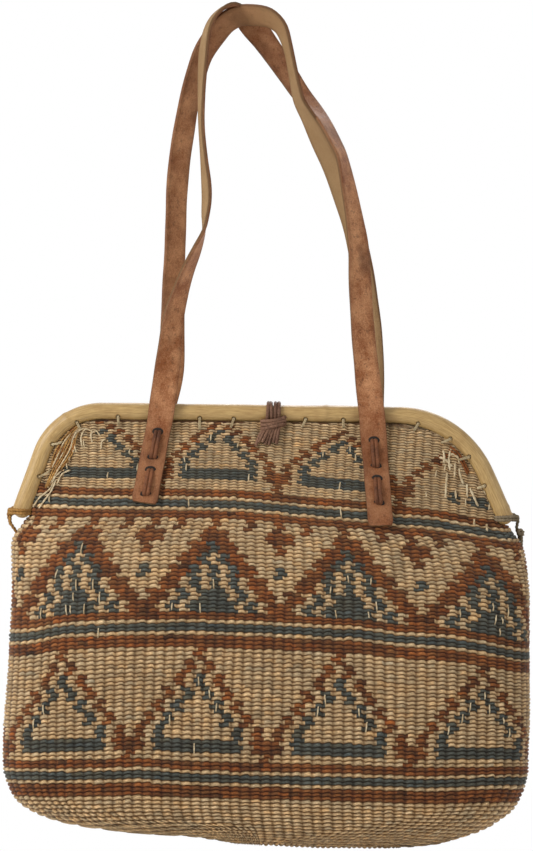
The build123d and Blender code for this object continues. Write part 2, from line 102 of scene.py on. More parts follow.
def steady_curve(x, y, at):
    """Cubic through the points that never swings past them."""
    step = np.diff(x)
    slope = np.diff(y, axis=0) / step[:, None]
    same = slope[1:] * slope[:-1] > 0
    mean = 2 * slope[1:] * slope[:-1] / np.where(same, slope[1:] + slope[:-1], 1)
    tangent = np.vstack([slope[:1], np.where(same, mean, 0), slope[-1:]])
    k = np.clip(np.searchsorted(x, at, side="right") - 1, 0, len(x) - 2)
    t = ((at - x[k]) / step[k])[..., None]
    a, b, ta, tb = y[k], y[k + 1], tangent[k] * step[k][..., None], tangent[k + 1] * step[k][..., None]
    return a + ta * t + (3 * (b - a) - 2 * ta - tb) * t ** 2 + (2 * (a - b) + ta + tb) * t ** 3


profile_length = np.concatenate([[0], np.cumsum(np.hypot(
    np.diff(profile_rows[:, 0]), np.diff(profile_rows[:, 3])))])
fine_length = np.linspace(0, profile_length[-1], 1200)
fine_height = steady_curve(profile_length, profile_rows, fine_length)[:, 0]


def length_at(height):
    """Distance up the profile at a height."""
    return np.interp(height, fine_height, fine_length)


lowest_course, lowest_height = course_heights[-1]
LAST_COURSE = lowest_course + (length_at(lowest_height) + BASE_HALF_WIDTH) / BASE_COURSE_LENGTH


def course_length(course):
    """Distance up the profile of a course on the front's middle line; below zero it is on the base."""
    upper = length_at(np.interp(course, course_heights[:, 0], course_heights[:, 1]))
    lower = length_at(lowest_height) - (course - lowest_course) * BASE_COURSE_LENGTH
    return np.where(course <= lowest_course, upper, lower)


def quarter_shares():
    """Even steps along a quarter of the belly's outline, as shares of its half-width and half-depth."""
    angle = np.linspace(math.pi / 2, 0, 4001)
    power = 2 / CORNER_SQUARENESS
    across = np.clip(np.cos(angle), 0, 1) ** power
    deep = np.clip(np.sin(angle), 0, 1) ** power
    across[0], deep[-1] = 0.0, 0.0
    width = (LEFT_HALF_WIDTH + RIGHT_HALF_WIDTH) / 2
    run = np.concatenate([[0], np.cumsum(np.hypot(np.diff(across) * width, np.diff(deep) * HALF_DEPTH))])
    return run / run[-1], across, deep


share_run, share_across, share_deep = quarter_shares()


def arm_points(inset):
    """Left end, left corner, right corner and right end of the hoop's line, moved inwards by inset."""
    points = []
    for end_x, corner_x, inward in ((LEFT_HINGE_X, LEFT_CORNER_X, 1), (RIGHT_HINGE_X, RIGHT_CORNER_X, -1)):
        rise = BAR_HEIGHT - HINGE_HEIGHT
        length = math.hypot(corner_x - end_x, rise)
        way = ((corner_x - end_x) / length, rise / length)
        end = (end_x + inset * inward * way[1], HINGE_HEIGHT - inset * inward * way[0])
        up = (BAR_HEIGHT - inset - end[1]) / way[1]
        points.append((end, (end[0] + up * way[0], BAR_HEIGHT - inset)))
    return [points[0][0], points[0][1], points[1][1], points[1][0]]


def unit(vectors):
    """Vectors made one long."""
    return vectors / np.linalg.norm(vectors, axis=-1, keepdims=True)


def hoop_line(inset, steps=24):
    """The hoop's bent line, or one parallel to it, as points (x, z) with round corners."""
    points = [np.array(p) for p in arm_points(inset)]
    line = [points[0]]
    for k, radius in ((1, LEFT_BEND_RADIUS - inset), (2, RIGHT_BEND_RADIUS - inset)):
        before, after = unit(points[k - 1] - points[k]), unit(points[k + 1] - points[k])
        half = math.acos(np.clip(before @ after, -1, 1)) / 2
        centre = points[k] + unit(before + after) * radius / math.sin(half)
        start = points[k] + before * radius / math.tan(half)
        turn = math.pi - 2 * half
        spoke = start - centre
        for i in range(steps + 1):
            angle = -turn * i / steps
            line.append(centre + np.array([
                spoke[0] * math.cos(angle) - spoke[1] * math.sin(angle),
                spoke[0] * math.sin(angle) + spoke[1] * math.cos(angle),
            ]))
    line.append(points[3])
    return np.array(line)


inner_line = hoop_line(CANE_RADIUS - RIM_OVERLAP)
TUCK_LOW, TUCK_HIGH, TUCK_WIDTH = 0.226, 0.236, 0.030


def rim_limit(height, side):
    """How far out the cloth may reach at a height: inside the hoops above the cane ends, free below."""
    half = len(inner_line) // 2
    line = inner_line[:half] if side < 0 else inner_line[::-1][:half]
    limit = np.interp(height, line[:, 1], np.abs(line[:, 0]))
    free = np.clip((TUCK_HIGH - height) / (TUCK_HIGH - TUCK_LOW), 0, 1)
    return limit + np.where(height < TUCK_HIGH, free ** 0.6 * TUCK_WIDTH, 0)


def cloth_point(rib, length):
    """The cloth's smooth outer face, before ribs: rib counts outwards from the middle, + to the right."""
    rows = steady_curve(profile_length, profile_rows, np.clip(length, 0, profile_length[-1]))
    height, left, right, depth, pointed = np.moveaxis(rows, -1, 0)
    right_side = rib >= 0
    width = np.where(right_side, right, left)
    belly = np.where(right_side, RIGHT_HALF_WIDTH, LEFT_HALF_WIDTH)
    run = np.abs(rib) / QUARTER_RIBS
    across = np.interp(run, share_run, share_across)
    deep = np.interp(run, share_run, share_deep)
    ratio = width / belly
    straight = (1 - pointed) * 0.85 * np.clip((ratio - 0.6) / 0.4, 0, 1) * ratio
    x = np.where(across <= straight, belly * across,
                 belly * (straight + (ratio - straight) * (across - straight) / (1 - straight)))
    arm = np.maximum(height, HINGE_HEIGHT)
    ends = arm_points(CANE_RADIUS)
    rise = (arm - HINGE_HEIGHT) / (BAR_HEIGHT - HINGE_HEIGHT)
    inner = np.where(right_side, ends[3][0] + rise * (ends[2][0] - ends[3][0]),
                     -ends[0][0] - rise * (ends[1][0] - ends[0][0]))
    reach = np.minimum(inner, width)
    flap = np.maximum(0, 1 - (x / reach) ** 2.5)
    lens = MOUTH_HALF_DEPTH * np.minimum(1, deep / 0.6) + np.maximum(depth - MOUTH_HALF_DEPTH, 0) * flap
    y = (1 - pointed) * depth * deep + pointed * lens
    under = np.clip(1 + np.minimum(length, 0) / BASE_HALF_WIDTH, 0, 1)
    return np.stack([np.where(right_side, x, -x), y * under, height], axis=-1)


# How far three of the stripes rise or sink from the middle line: course, then distance across and height
stripe_lines = {
    22: [(-0.185, 0.001), (-0.138, 0.000), (-0.037, 0.0005), (-0.009, 0.0), (0.020, -0.003),
         (0.049, -0.0055), (0.092, -0.0085), (0.107, -0.0112), (0.135, -0.0122), (0.164, -0.0176),
         (0.188, -0.022)],
    54: [(-0.183, -0.0095), (-0.166, -0.0085), (-0.138, -0.003), (-0.095, -0.0003), (-0.050, 0.0014),
         (0.006, 0.0), (0.078, -0.0026), (0.092, -0.0055), (0.135, -0.0076), (0.179, -0.0162),
         (0.190, -0.018)],
    89: [(-0.183, 0.000), (-0.124, 0.0008), (-0.081, 0.003), (-0.050, 0.001), (0.0, 0.0),
         (0.063, -0.0002), (0.121, -0.0013), (0.164, 0.0012), (0.190, 0.001)],
}


def droop(course, rib):
    """How far a course lies above or below its place on the middle line, as the worn cloth has settled."""
    x = np.interp(np.abs(rib) / QUARTER_RIBS, share_run, share_across)
    x = np.where(rib >= 0, x * RIGHT_HALF_WIDTH, -x * LEFT_HALF_WIDTH)
    top, middle, low = [sum(np.interp(x + step, *np.transpose(points)) for step in (-0.008, 0, 0.008)) / 3
                        for points in stripe_lines.values()]
    top_course, middle_course, low_course = stripe_lines
    share = np.clip((course - top_course) / (middle_course - top_course), 0, 1)
    below = np.clip((course - middle_course) / (low_course - middle_course), 0, 1)
    rise = np.where(course < middle_course, top + share * (middle - top), middle + below * (low - middle))
    return rise * np.clip((104 - course) / 12, 0, 1)


# How far the ribs have been pulled sideways: at three heights, for the ribs named
pulled_ribs = [-32, -19, -5, 9, 23, 32]
pull_heights = [0.107, 0.192, 0.278]
pulls = np.array([
    (0.0, -0.0063, -0.0056, -0.0022, 0.0017, 0.0),
    (0.0, -0.0069, -0.0015, -0.0040, 0.0014, 0.0),
    (0.0, 0.0053, -0.0051, -0.0066, -0.0175, 0.0),
])


def pull(rib, height):
    rows = [np.interp(rib, pulled_ribs, row) for row in pulls]
    low = np.clip((height - pull_heights[0]) / (pull_heights[1] - pull_heights[0]), 0, 1)
    high = np.clip((height - pull_heights[1]) / (pull_heights[2] - pull_heights[1]), 0, 1)
    return rows[0] + low * (rows[1] - rows[0]) + high * (rows[2] - rows[1])


# How far the base arches up off the ground: distance across, rise
base_rise_table = np.array([
    (-0.150, 0.0000), (-0.120, 0.0014), (-0.090, 0.0030), (-0.055, 0.0046), (-0.030, 0.0050), (0.000, 0.0040),
    (0.040, 0.0028), (0.075, 0.0024), (0.100, 0.0024), (0.120, 0.0008), (0.140, 0.0000),
])


def cloth_half(way, seed):
    """Rib and course of each point of one half of the cloth, its relief, and the outer and inner walls."""
    rng = np.random.default_rng(seed)
    columns = 2 * QUARTER_RIBS * COLUMNS_PER_RIB
    ribs = np.linspace(-QUARTER_RIBS, QUARTER_RIBS, columns + 1)
    courses = np.concatenate([
        np.arange(FIRST_COURSE, PLAIN_COURSE, 1 / ROWS_PER_COURSE),
        np.linspace(PLAIN_COURSE, LAST_COURSE, BASE_ROWS),
    ])
    rib, course = np.meshgrid(ribs, courses)
    rib_wobble = rng.normal(0, RIB_WANDER, 2 * QUARTER_RIBS + 1)
    course_wobble = np.cumsum(rng.normal(0, COURSE_WANDER, COURSE_DRAWS)) * 0.3
    cell_wobble = rng.normal(0, CELL_WANDER, (COURSE_DRAWS, 2 * QUARTER_RIBS + 1))
    ramp = np.clip((QUARTER_RIBS - np.abs(rib)) / 2, 0, 1)
    moved_rib = rib + ramp * np.interp(rib, np.arange(-QUARTER_RIBS, QUARTER_RIBS + 1), rib_wobble)
    profile = np.abs(np.cos(math.pi * rib))
    arch = COURSE_ARCH * (profile - 0.5) + COURSE_SLANT * np.sin(2 * math.pi * rib)
    arch = arch * np.clip((PLAIN_COURSE - course) / 4, 0, 1)
    nearest = np.clip(np.round(rib).astype(int), -QUARTER_RIBS, QUARTER_RIBS) + QUARTER_RIBS
    course_number = np.floor(course).astype(int) - FIRST_COURSE
    row = np.clip(course_number, 0, COURSE_DRAWS - 2)
    part = np.mod(course, 1)
    own = (1 - part) * cell_wobble[row, nearest] + part * cell_wobble[row + 1, nearest]
    drawn_courses = np.arange(FIRST_COURSE, FIRST_COURSE + COURSE_DRAWS)
    moved_course = course - arch + own + np.interp(course, drawn_courses, course_wobble)
    top = BAR_HEIGHT - CANE_RADIUS + RIM_OVERLAP
    sunk = droop(np.zeros(rib.shape), rib)
    rim_course = np.interp(-(length_at(top) - sunk), -course_length(courses), courses)
    moved_course = np.clip(moved_course, rim_course, LAST_COURSE)
    buried = course < rim_course
    length = course_length(moved_course) + droop(course, rib)
    smooth = cloth_point(moved_rib, length)
    face = np.clip(smooth[..., 1] / 0.03, 0, 1) * np.clip(smooth[..., 2] / 0.03, 0, 1)
    smooth[..., 0] += pull(rib if way < 0 else -rib, smooth[..., 2]) * face * (1 if way < 0 else -1)
    smooth[..., 1] *= way
    x, z = smooth[..., 0], smooth[..., 2]
    base_rise = np.interp(x, base_rise_table[:, 0], base_rise_table[:, 1])
    z += base_rise * np.clip(1 - z / 0.05, 0, 1) ** 1.5
    wave = (np.sin(21 * x + 9 * z + 1.3 * seed) + 0.7 * np.sin(47 * x - 31 * z + 2.1 * seed)
            + 0.5 * np.sin(83 * z + 13 * x + seed)) * WAVE_HEIGHT
    along_row = np.gradient(smooth, axis=1)
    up = -np.gradient(smooth, axis=0)
    normal = np.cross(along_row, up) * -way
    size = np.linalg.norm(normal, axis=-1, keepdims=True)
    normal = np.where(size > 1e-12, normal / np.maximum(size, 1e-12), np.array([0.0, 0.0, -1.0]))
    seam = np.abs(rib) > QUARTER_RIBS - 0.01
    normal[seam, 1] *= 0.0
    normal[seam] /= np.maximum(np.linalg.norm(normal[seam], axis=-1, keepdims=True), 1e-9)
    cell = rng.normal(1, PILLOW_SPREAD, (CELL_DRAWS, 4 * QUARTER_RIBS))
    pillow = np.abs(np.sin(math.pi * course)) ** 0.6
    rib_share = np.interp(course, (16, 60), (0.42, 0.60))
    level = (1 - rib_share + rib_share * profile ** 0.8) * (0.12 + 0.88 * pillow)
    base_fade = np.clip((LAST_COURSE - 2 - course) / 6, 0.25, 1)
    lift = (level * cell[course_number, nearest] - 0.5) * WEAVE_RELIEF * base_fade
    lift = np.where(seam, -0.4 * WEAVE_RELIEF, lift)
    edge = np.clip((length + 0.03) / 0.012, 0, 1)
    outer = smooth + normal * (lift + wave * ramp * edge)[..., None]
    outer[..., 2] = np.maximum(outer[..., 2], 0.0002)
    inner = smooth - normal * WALL
    for points in (outer, inner):
        points[seam, 1] = 0
        points[-1, :, 1] = 0
        for column in range(columns + 1):
            first = int(np.argmin(buried[:, column]))
            points[first, column, 2] = top
            points[:first, column] = points[first, column]
        points[..., 2] = np.minimum(points[..., 2], top)
        for side in (-1, 1):
            limit = rim_limit(points[..., 2], side)
            points[..., 0] = np.where(side * points[..., 0] > limit, side * limit, points[..., 0])
    return rib, course, level, outer, inner


def band(course, first, last):
    return (course >= first) & (course < last)


def weave_colours(rib, course):
    """0 natural, 1 rust, 2 blue-grey for each cell: stripes, and stepped motifs fourteen ribs apart."""
    dye = np.zeros(rib.shape, int)
    for first, last, colour in (
        (18, 20, 1), (21, 23, 2), (24, 26, 1), (50, 52, 1), (53, 55, 2), (56, 59, 1),
        (85, 87, 1), (88, 90, 2), (91, 94, 1),
    ):
        dye[band(course, first, last)] = colour

    def paint(first, last, ribs_away, colour, shift=0):
        away = np.abs(np.mod(rib - 2 - shift, 14) - 7)
        dye[band(course, first, last) & np.isin(away, ribs_away)] = colour

    for step, shift in (((-9, -7, -5, -3, 0, 3, 6, 10, 14, 18), 0),
                        ((59, 62, 65, 68, 71, 74, 77, 80, 83, 85), -1)):
        for k in range(7):
            paint(step[k], step[k + 1], [k], 1, shift)
            if k >= 2:
                paint(step[k], step[k + 1], [k - 2], 2, shift)
        paint(step[7], step[8], [0, 1, 2, 3, 4], 2, shift)
        paint(step[7], step[8], [6, 7], 1, shift)
        paint(step[8], step[9], [7], 1, shift)
    for first, rust, blue in (
        (26, [0, 4, 7], []), (29, [0, 1, 6, 7], []), (32, [1, 2, 7], [0]), (35, [2, 3], [1]),
        (38, [3, 4], [0, 2, 7]), (41, [4, 5], [0, 2]), (44, [5, 6], [0, 1, 3]), (47, [6, 7], [0, 1, 2, 4]),
    ):
        paint(first, first + 3, rust, 1)
        paint(first, first + 3, blue, 2)
    return dye


def darned_corners(rib, course, dye):
    """Cells of the two top corners at the front that were darned again in natural yarn."""
    right_blue = (dye == 2) & (rib >= 18) & (course < 14) & ~((course >= 10) & np.isin(rib, (22, 24, 25)))
    right_rust = (dye == 1) & (rib >= 22) & (course < 9)
    left_leg = (rib <= -20) & (course < 10)
    left_edge = (rib <= -24) & (course < 17)
    return right_blue | right_rust | left_leg | left_edge


def linear(colour):
    """An sRGB hex colour as linear values."""
    parts = [int(colour[k:k + 2], 16) / 255 for k in (1, 3, 5)]
    return [p / 12.92 if p <= 0.04045 else ((p + 0.055) / 1.055) ** 2.4 for p in parts]


def stitch_grid(index, flip):
    """The four-sided faces of a grid of point numbers."""
    a, b, c, d = index[:-1, :-1], index[:-1, 1:], index[1:, 1:], index[1:, :-1]
    return np.stack([a, d, c, b] if flip else [a, b, c, d], axis=-1).reshape(-1, 4).tolist()


def new_mesh(name, points, faces, edges=(), smooth=True):
    mesh = bpy.data.meshes.new(name)
    mesh.from_pydata(points, edges, faces)
    if smooth:
        mesh.shade_smooth()
    return mesh


def new_object(name, data):
    made = bpy.data.objects.new(name, data)
    bpy.context.collection.objects.link(made)
    return made


def clean_mesh(name, points, faces):
    """A mesh without doubled points or empty faces; keeps each face's first index for its attributes."""
    keys = np.round(points / 1e-6).astype(np.int64)
    _, first, merged = np.unique(keys, axis=0, return_index=True, return_inverse=True)
    merged = merged.reshape(-1)
    kept_faces, corners, source = [], [], []
    seen = set()
    for number, face in enumerate(faces):
        ring, old = [], []
        for vertex in face:
            m = int(merged[vertex])
            if not ring or (m != ring[-1]):
                ring.append(m)
                old.append(vertex)
        if len(ring) > 1 and ring[0] == ring[-1]:
            ring.pop()
            old.pop()
        if len(set(ring)) < 3 or len(set(ring)) < len(ring):
            continue
        key = tuple(sorted(ring))
        if key in seen:
            continue
        seen.add(key)
        kept_faces.append(ring)
        corners.extend(old)
        source.append(number)
    mesh = new_mesh(name, points[first].tolist(), kept_faces)
    return mesh, np.array(corners), np.array(source), first


def link(name, mesh, material):
    piece = new_object(name, mesh)
    mesh.materials.clear()
    mesh.materials.append(material)
    return piece


def point_values(mesh, name, values):
    """Gives each point of a mesh a value that its material reads."""
    made = mesh.attributes.new(name, "FLOAT", "POINT")
    made.data.foreach_set("value", np.array(values, dtype=np.float32))


def give(socket, value):
    """Sets a node's input to a number, a vector or a colour, or links another node's output to it."""
    if isinstance(value, bpy.types.NodeSocket):
        socket.id_data.links.new(value, socket)
        return
    if isinstance(value, str):
        value = linear(value)
    if isinstance(value, (tuple, list)):
        value = (*value, 1)[:len(socket.default_value)]
    socket.default_value = value


def node(tree, kind, **settings):
    """A node with its settings, and with its inputs where the name is an input's."""
    made = tree.nodes.new(kind)
    for key, value in settings.items():
        if hasattr(made, key):
            setattr(made, key, value)
        else:
            give(made.inputs[key], value)
    return made


def new_material(name, colour=(0.8, 0.8, 0.8), roughness=0.5):
    material = bpy.data.materials.new(name)
    material.use_nodes = True
    shader = material.node_tree.nodes["Principled BSDF"]
    give(shader.inputs["Base Color"], colour)
    give(shader.inputs["Roughness"], roughness)
    return material, material.node_tree, shader


def tree_of(*values):
    """The node tree that the first output among the values belongs to."""
    return next(value.id_data for value in values if isinstance(value, bpy.types.NodeSocket))


def calc(operation, a, b=None, clamp=False):
    """One step of arithmetic, as a Math node."""
    made = node(tree_of(a, b), "ShaderNodeMath", operation=operation, use_clamp=clamp)
    give(made.inputs[0], a)
    if b is not None:
        give(made.inputs[1], b)
    return made.outputs[0]


def plus(a, b):
    return calc("ADD", a, b)


def times(a, b):
    return calc("MULTIPLY", a, b)


def mix(factor, a, b, blend="MIX"):
    """A colour between two others, or one multiplied by the other."""
    made = node(tree_of(factor, a, b), "ShaderNodeMix", data_type="RGBA", blend_type=blend)
    for number, value in ((0, factor), (6, a), (7, b)):
        give(made.inputs[number], value)
    return made.outputs[2]


def ramp_value(value, low, high, to_low=0.0, to_high=1.0):
    """A value moved from one range to another."""
    limits = {"From Min": low, "From Max": high, "To Min": to_low, "To Max": to_high}
    return node(tree_of(value), "ShaderNodeMapRange", Value=value, **limits).outputs[0]


def noise(vector, scale, detail=2.0, roughness=0.5):
    return node(tree_of(vector), "ShaderNodeTexNoise", Vector=vector, Scale=scale, Detail=detail,
                Roughness=roughness).outputs["Fac"]


def mesh_value(tree, name, output="Fac"):
    """An attribute of the mesh, as a shader reads it."""
    return node(tree, "ShaderNodeAttribute", attribute_name=name).outputs[output]


def object_place(tree):
    return node(tree, "ShaderNodeTexCoord").outputs["Object"]


def stretched(vector, scale):
    return node(tree_of(vector), "ShaderNodeMapping", Vector=vector, Scale=scale).outputs[0]


def dress(shader, colour, roughness, specular, height, strength, depth):
    """Feeds a material's shader: colour, roughness, shine, and a bump of a given strength and depth."""
    bump = node(shader.id_data, "ShaderNodeBump", Strength=strength, Distance=depth, Height=height)
    for name, value in (("Base Color", colour), ("Roughness", roughness), ("Specular IOR Level", specular),
                        ("Normal", bump.outputs[0])):
        give(shader.inputs[name], value)


NATURAL, RUST, BLUE = "#C0A681", "#7A4A24", "#4E514C"


def weave_material():
    material, tree, shader = new_material("sisal_weave")
    place = object_place(tree)
    yarn = mesh_value(tree, "yarn", "Color")
    relief, inside = mesh_value(tree, "relief"), mesh_value(tree, "inside")
    weave_map = node(tree, "ShaderNodeUVMap", uv_map="weave").outputs[0]
    across, along = node(tree, "ShaderNodeSeparateXYZ", Vector=weave_map).outputs[:2]
    # Ply stripes along the twist of the yarn: they feed the bump, and in the colour they are painted light
    # and dark lines, a painted highlight and shade of the plies.
    strand = calc("SINE", plus(times(along, 19.0), times(across, 6.5)))
    # The inner wall has a coarse mesh, so the back of the weave is drawn on it: courses, half a rib apart.
    shifted = plus(across, times(calc("FLOOR", along), 0.5))
    course_wave = calc("ABSOLUTE", calc("SINE", times(along, math.pi)))
    rib_wave = calc("ABSOLUTE", calc("COSINE", times(shifted, math.pi)))
    back = times(course_wave, plus(times(rib_wave, 0.5), 0.5))
    relief = plus(relief, times(inside, calc("SUBTRACT", back, relief)))
    fibre = noise(place, 2600, 3)
    shade = ramp_value(noise(place, 38, 3, 0.6), 0.3, 0.7, 0.86, 1.10)
    for value, low, high, dark, light in (
        (noise(place, 300, 2, 0.6), 0.3, 0.7, 0.84, 1.14),
        (noise(stretched(place, (1.0, 1.0, 3.2)), 420, 3, 0.7), 0.34, 0.66, 0.74, 1.26),
        (fibre, 0.3, 0.7, 0.72, 1.26), (strand, -1, 1, 0.84, 1.12),
    ):
        shade = times(shade, ramp_value(value, low, high, dark, light))
    grey = node(tree, "ShaderNodeCombineColor", Red=shade, Green=shade, Blue=shade).outputs[0]
    # Painted shade and highlight: from the relief value (on the inner wall, the drawn back of the weave), the
    # low places between courses and ribs are painted dark brown and the crests are painted lighter than the
    # yarn.
    deep = mix(ramp_value(relief, 0.10, 0.50), (0.20, 0.11, 0.05), (0.70, 0.61, 0.50))
    painted_shade_and_highlight = mix(ramp_value(relief, 0.48, 0.98), deep, (1.34, 1.29, 1.19))
    colour = mix(1.0, mix(1.0, yarn, grey, "MULTIPLY"), painted_shade_and_highlight, "MULTIPLY")
    height = plus(plus(times(strand, 0.35), fibre), times(times(inside, back), 2.5))
    dress(shader, colour, ramp_value(fibre, 0.3, 0.7, 0.9, 0.68), 0.3, height, 0.55, 0.0006)
    give(shader.inputs["Sheen Weight"], 0.12)
    give(shader.inputs["Sheen Roughness"], 0.5)
    return material


weave = weave_material()


def make_cloth_half(name, way, seed):
    """One half of the cloth: a fine outer wall, a coarse inner one, and strips that join their edges."""
    rib, course, level, outer, inner = cloth_half(way, seed)
    rows, columns = rib.shape
    coarse_rows = np.concatenate([
        np.arange(0, rows - BASE_ROWS, 3 * ROWS_PER_COURSE), np.arange(rows - BASE_ROWS, rows)])
    coarse_columns = np.arange(0, columns, 2 * COLUMNS_PER_RIB)
    picked = np.ix_(coarse_rows, coarse_columns)
    fine = np.arange(rows * columns).reshape(rows, columns)
    crude = rows * columns + np.arange(rib[picked].size).reshape(rib[picked].shape)
    flip = way > 0
    faces = stitch_grid(fine, not flip)
    outer_count = len(faces)
    faces += stitch_grid(crude, flip)
    for fine_line, crude_line, steps, turned in (
        (fine[0], crude[0], coarse_columns, False), (fine[-1], crude[-1], coarse_columns, True),
        (fine[:, 0], crude[:, 0], coarse_rows, True), (fine[:, -1], crude[:, -1], coarse_rows, False),
    ):
        for k in range(len(steps) - 1):
            run = fine_line[steps[k]:steps[k + 1] + 1]
            strip = [[crude_line[k], a, b] for a, b in zip(run, run[1:])]
            strip.append([crude_line[k], run[-1], crude_line[k + 1]])
            faces += [[int(v) for v in (face if turned == flip else face[::-1])] for face in strip]
    points = np.concatenate([outer.reshape(-1, 3), inner[picked].reshape(-1, 3)])
    mesh, corners, source, first = clean_mesh(name, points, faces)

    rng = np.random.default_rng(seed + 50)
    cell_course = np.floor((course[:-1, :-1] + course[1:, :-1]) / 2).astype(int)
    ragged = np.array([0.20, -0.22, 0.12, -0.16])[cell_course % 4]
    cell_rib = np.round((rib[:-1, :-1] + rib[:-1, 1:]) / 2 + ragged)
    cell_rib = np.clip(cell_rib, -QUARTER_RIBS, QUARTER_RIBS).astype(int).ravel()
    cell_course = cell_course.ravel()
    dye = weave_colours(cell_rib if way < 0 else -cell_rib, cell_course)
    if way < 0:
        dye[darned_corners(cell_rib, cell_course, dye)] = 0
    palette = np.array([linear(c) for c in (NATURAL, RUST, BLUE)])
    draws = (4 * QUARTER_RIBS, CELL_DRAWS)
    tone, warm = rng.normal(1, SHADE_SPREAD, draws), rng.normal(0, HUE_SPREAD, draws)
    cell = (cell_rib + 2 * QUARTER_RIBS, cell_course - FIRST_COURSE)
    spread = np.array([0.8, 1.8, 1.0])[dye]
    # Painted light: cells below the lowest listed course, round the base, are painted 12% lighter.
    shift = (1 + (tone[cell] - 1) * spread) * np.where(cell_course > lowest_course, 1.12, 1.0)
    hue = (warm[cell] * spread)[:, None] * np.array([1, 0, -1.4])
    face_colour = np.tile(palette[0] * 0.8, (len(faces), 1))
    face_colour[:outer_count] = palette[dye] * shift[:, None] * (1 + hue)
    counts = [polygon.loop_total for polygon in mesh.polygons]
    colour = np.clip(np.repeat(face_colour[source], counts, axis=0), 0, 1)
    yarn = mesh.color_attributes.new("yarn", "FLOAT_COLOR", "CORNER")
    yarn.data.foreach_set("color", np.insert(colour, 3, 1, axis=1).astype(np.float32).ravel())

    def on_walls(outer_values, inner_values):
        return np.concatenate([np.ravel(outer_values), np.ravel(inner_values)])

    weave_map = np.stack([on_walls(values, values[picked])[corners] for values in (rib, course)], axis=1)
    mesh.uv_layers.new(name="weave").data.foreach_set("uv", weave_map.astype(np.float32).ravel())
    point_values(mesh, "relief", on_walls(level, np.full(crude.shape, 0.55))[first])
    point_values(mesh, "inside", on_walls(np.zeros(fine.shape), np.ones(crude.shape))[first])
    piece = link(name, mesh, weave)
    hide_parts("woven_body")
    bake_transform(piece)
    return outer


front_face = make_cloth_half("front_cloth", -1, 3)
make_cloth_half("rear_cloth", 1, 8)

# Cane hoops
# Two rods of peeled cane, bent over steam at two corners, one for each side of the mouth. Their ends lie
# side by side at the hinges, and small holes through them take the twine.
CANE_SIDES = 56
HOLE_ANGLE = math.radians(52)
HOLE_RADIUS = 0.0013
HOLE_DEPTH = 0.0022
CANE_NODES = (0.075, 0.262, 0.421)
NODE_HALF_WIDTH, NODE_HEIGHT = 0.0016, 0.0004
CANE_RINGS = 340
CANE_END_TRIM = 0.0022


def run_along(line):
    """Distance from the start of a line to each of its points."""
    return np.concatenate([[0], np.cumsum(np.linalg.norm(np.diff(line, axis=0), axis=1))])


def at_run(line, run, spots):
    """A line's points, or its stations, at distances along it."""
    return np.stack([np.interp(spots, run, column) for column in line.T], axis=1)


def along_line(line, spots):
    """Points and directions at distances along a line."""
    run = run_along(line)
    ahead, behind = np.minimum(spots + 1e-3, run[-1]), np.maximum(spots - 1e-3, 0)
    return at_run(line, run, spots), unit(at_run(line, run, ahead) - at_run(line, run, behind))


def surface_mesh(name, rings, lengths):
    """A mesh through rings of points, closed at both ends, with a map of length and turn."""
    count, sides = rings.shape[:2]
    points = [*rings.reshape(-1, 3).tolist(), *rings[[0, -1]].mean(axis=1).tolist()]
    faces, spots = [], []

    def add(corners):
        faces.append([ring * sides + side % sides for ring, side in corners])
        spots.extend([(lengths[ring], side / sides) for ring, side in corners])

    for k in range(count - 1):
        for i in range(sides):
            add([(k, i), (k, i + 1), (k + 1, i + 1), (k + 1, i)])
    for ring, middle in ((0, count * sides), (count - 1, count * sides + 1)):
        for i in range(sides):
            add([(ring, i + 1), (ring, i)] if ring == 0 else [(ring, i), (ring, i + 1)])
            faces[-1].insert(0, middle)
            spots.insert(-2, (lengths[ring], 0.5))
    mesh = new_mesh(name, points, faces)
    mesh.uv_layers.new(name="surface").data.foreach_set("uv", np.array(spots, dtype=np.float32).ravel())
    return mesh


def cane_material():
    material, tree, shader = new_material("peeled_cane")
    place = object_place(tree)
    surface_map = node(tree, "ShaderNodeUVMap", uv_map="surface").outputs[0]
    streak = noise(stretched(surface_map, (18, 9, 1)), 5, 4, 0.65)
    blotch = noise(place, 45, 3, 0.6)
    tone = mix(ramp_value(streak, 0.32, 0.68), "#9C7B49", "#C6A56C")
    tone = mix(ramp_value(blotch, 0.52, 0.75, 0, 0.55), tone, "#8A5F34")
    # Dark marks at the cane's nodes and cut ends, and painted shade inside the twine holes.
    tone = mix(calc("MULTIPLY", mesh_value(tree, "node_ring"), 0.5, clamp=True), tone, "#2E1B0C")
    height = plus(streak, times(noise(place, 900), 0.3))
    dress(shader, tone, ramp_value(blotch, 0.3, 0.7, 0.34, 0.55), 0.45, height, 0.25, 0.0004)
    return material


cane = cane_material()


# Where the photograph shows the bag: its middle and base in pixels, a pixel's size and the drop in
# millimetres, and the bag's lean about a height
PHOTO_MIDDLE, PHOTO_BASE = 267, 850
PIXEL_SIZE, PHOTO_DROP = 0.72, 1.2
PHOTO_LEAN, LEAN_HEIGHT = 0.014, 306


def photo_point(across, down):
    """Across and height of a point picked on the photograph, given in its pixels."""
    x, z = (across - PHOTO_MIDDLE) * PIXEL_SIZE, (PHOTO_BASE - down) * PIXEL_SIZE
    return np.array([x - PHOTO_LEAN * (z - LEAN_HEIGHT), z + PHOTO_LEAN * x - PHOTO_DROP]) / 1000


def along_hoop(point):
    """Distance along the hoop of its place nearest to a point."""
    line = hoop_line(0)
    steps = np.diff(line, axis=0)
    lengths = np.linalg.norm(steps, axis=1)
    share = np.clip(((point - line[:-1]) * steps).sum(axis=1) / lengths ** 2, 0, 1)
    nearest = np.argmin(np.linalg.norm(point - line[:-1] - share[:, None] * steps, axis=1))
    return lengths[:nearest].sum() + share[nearest] * lengths[nearest]


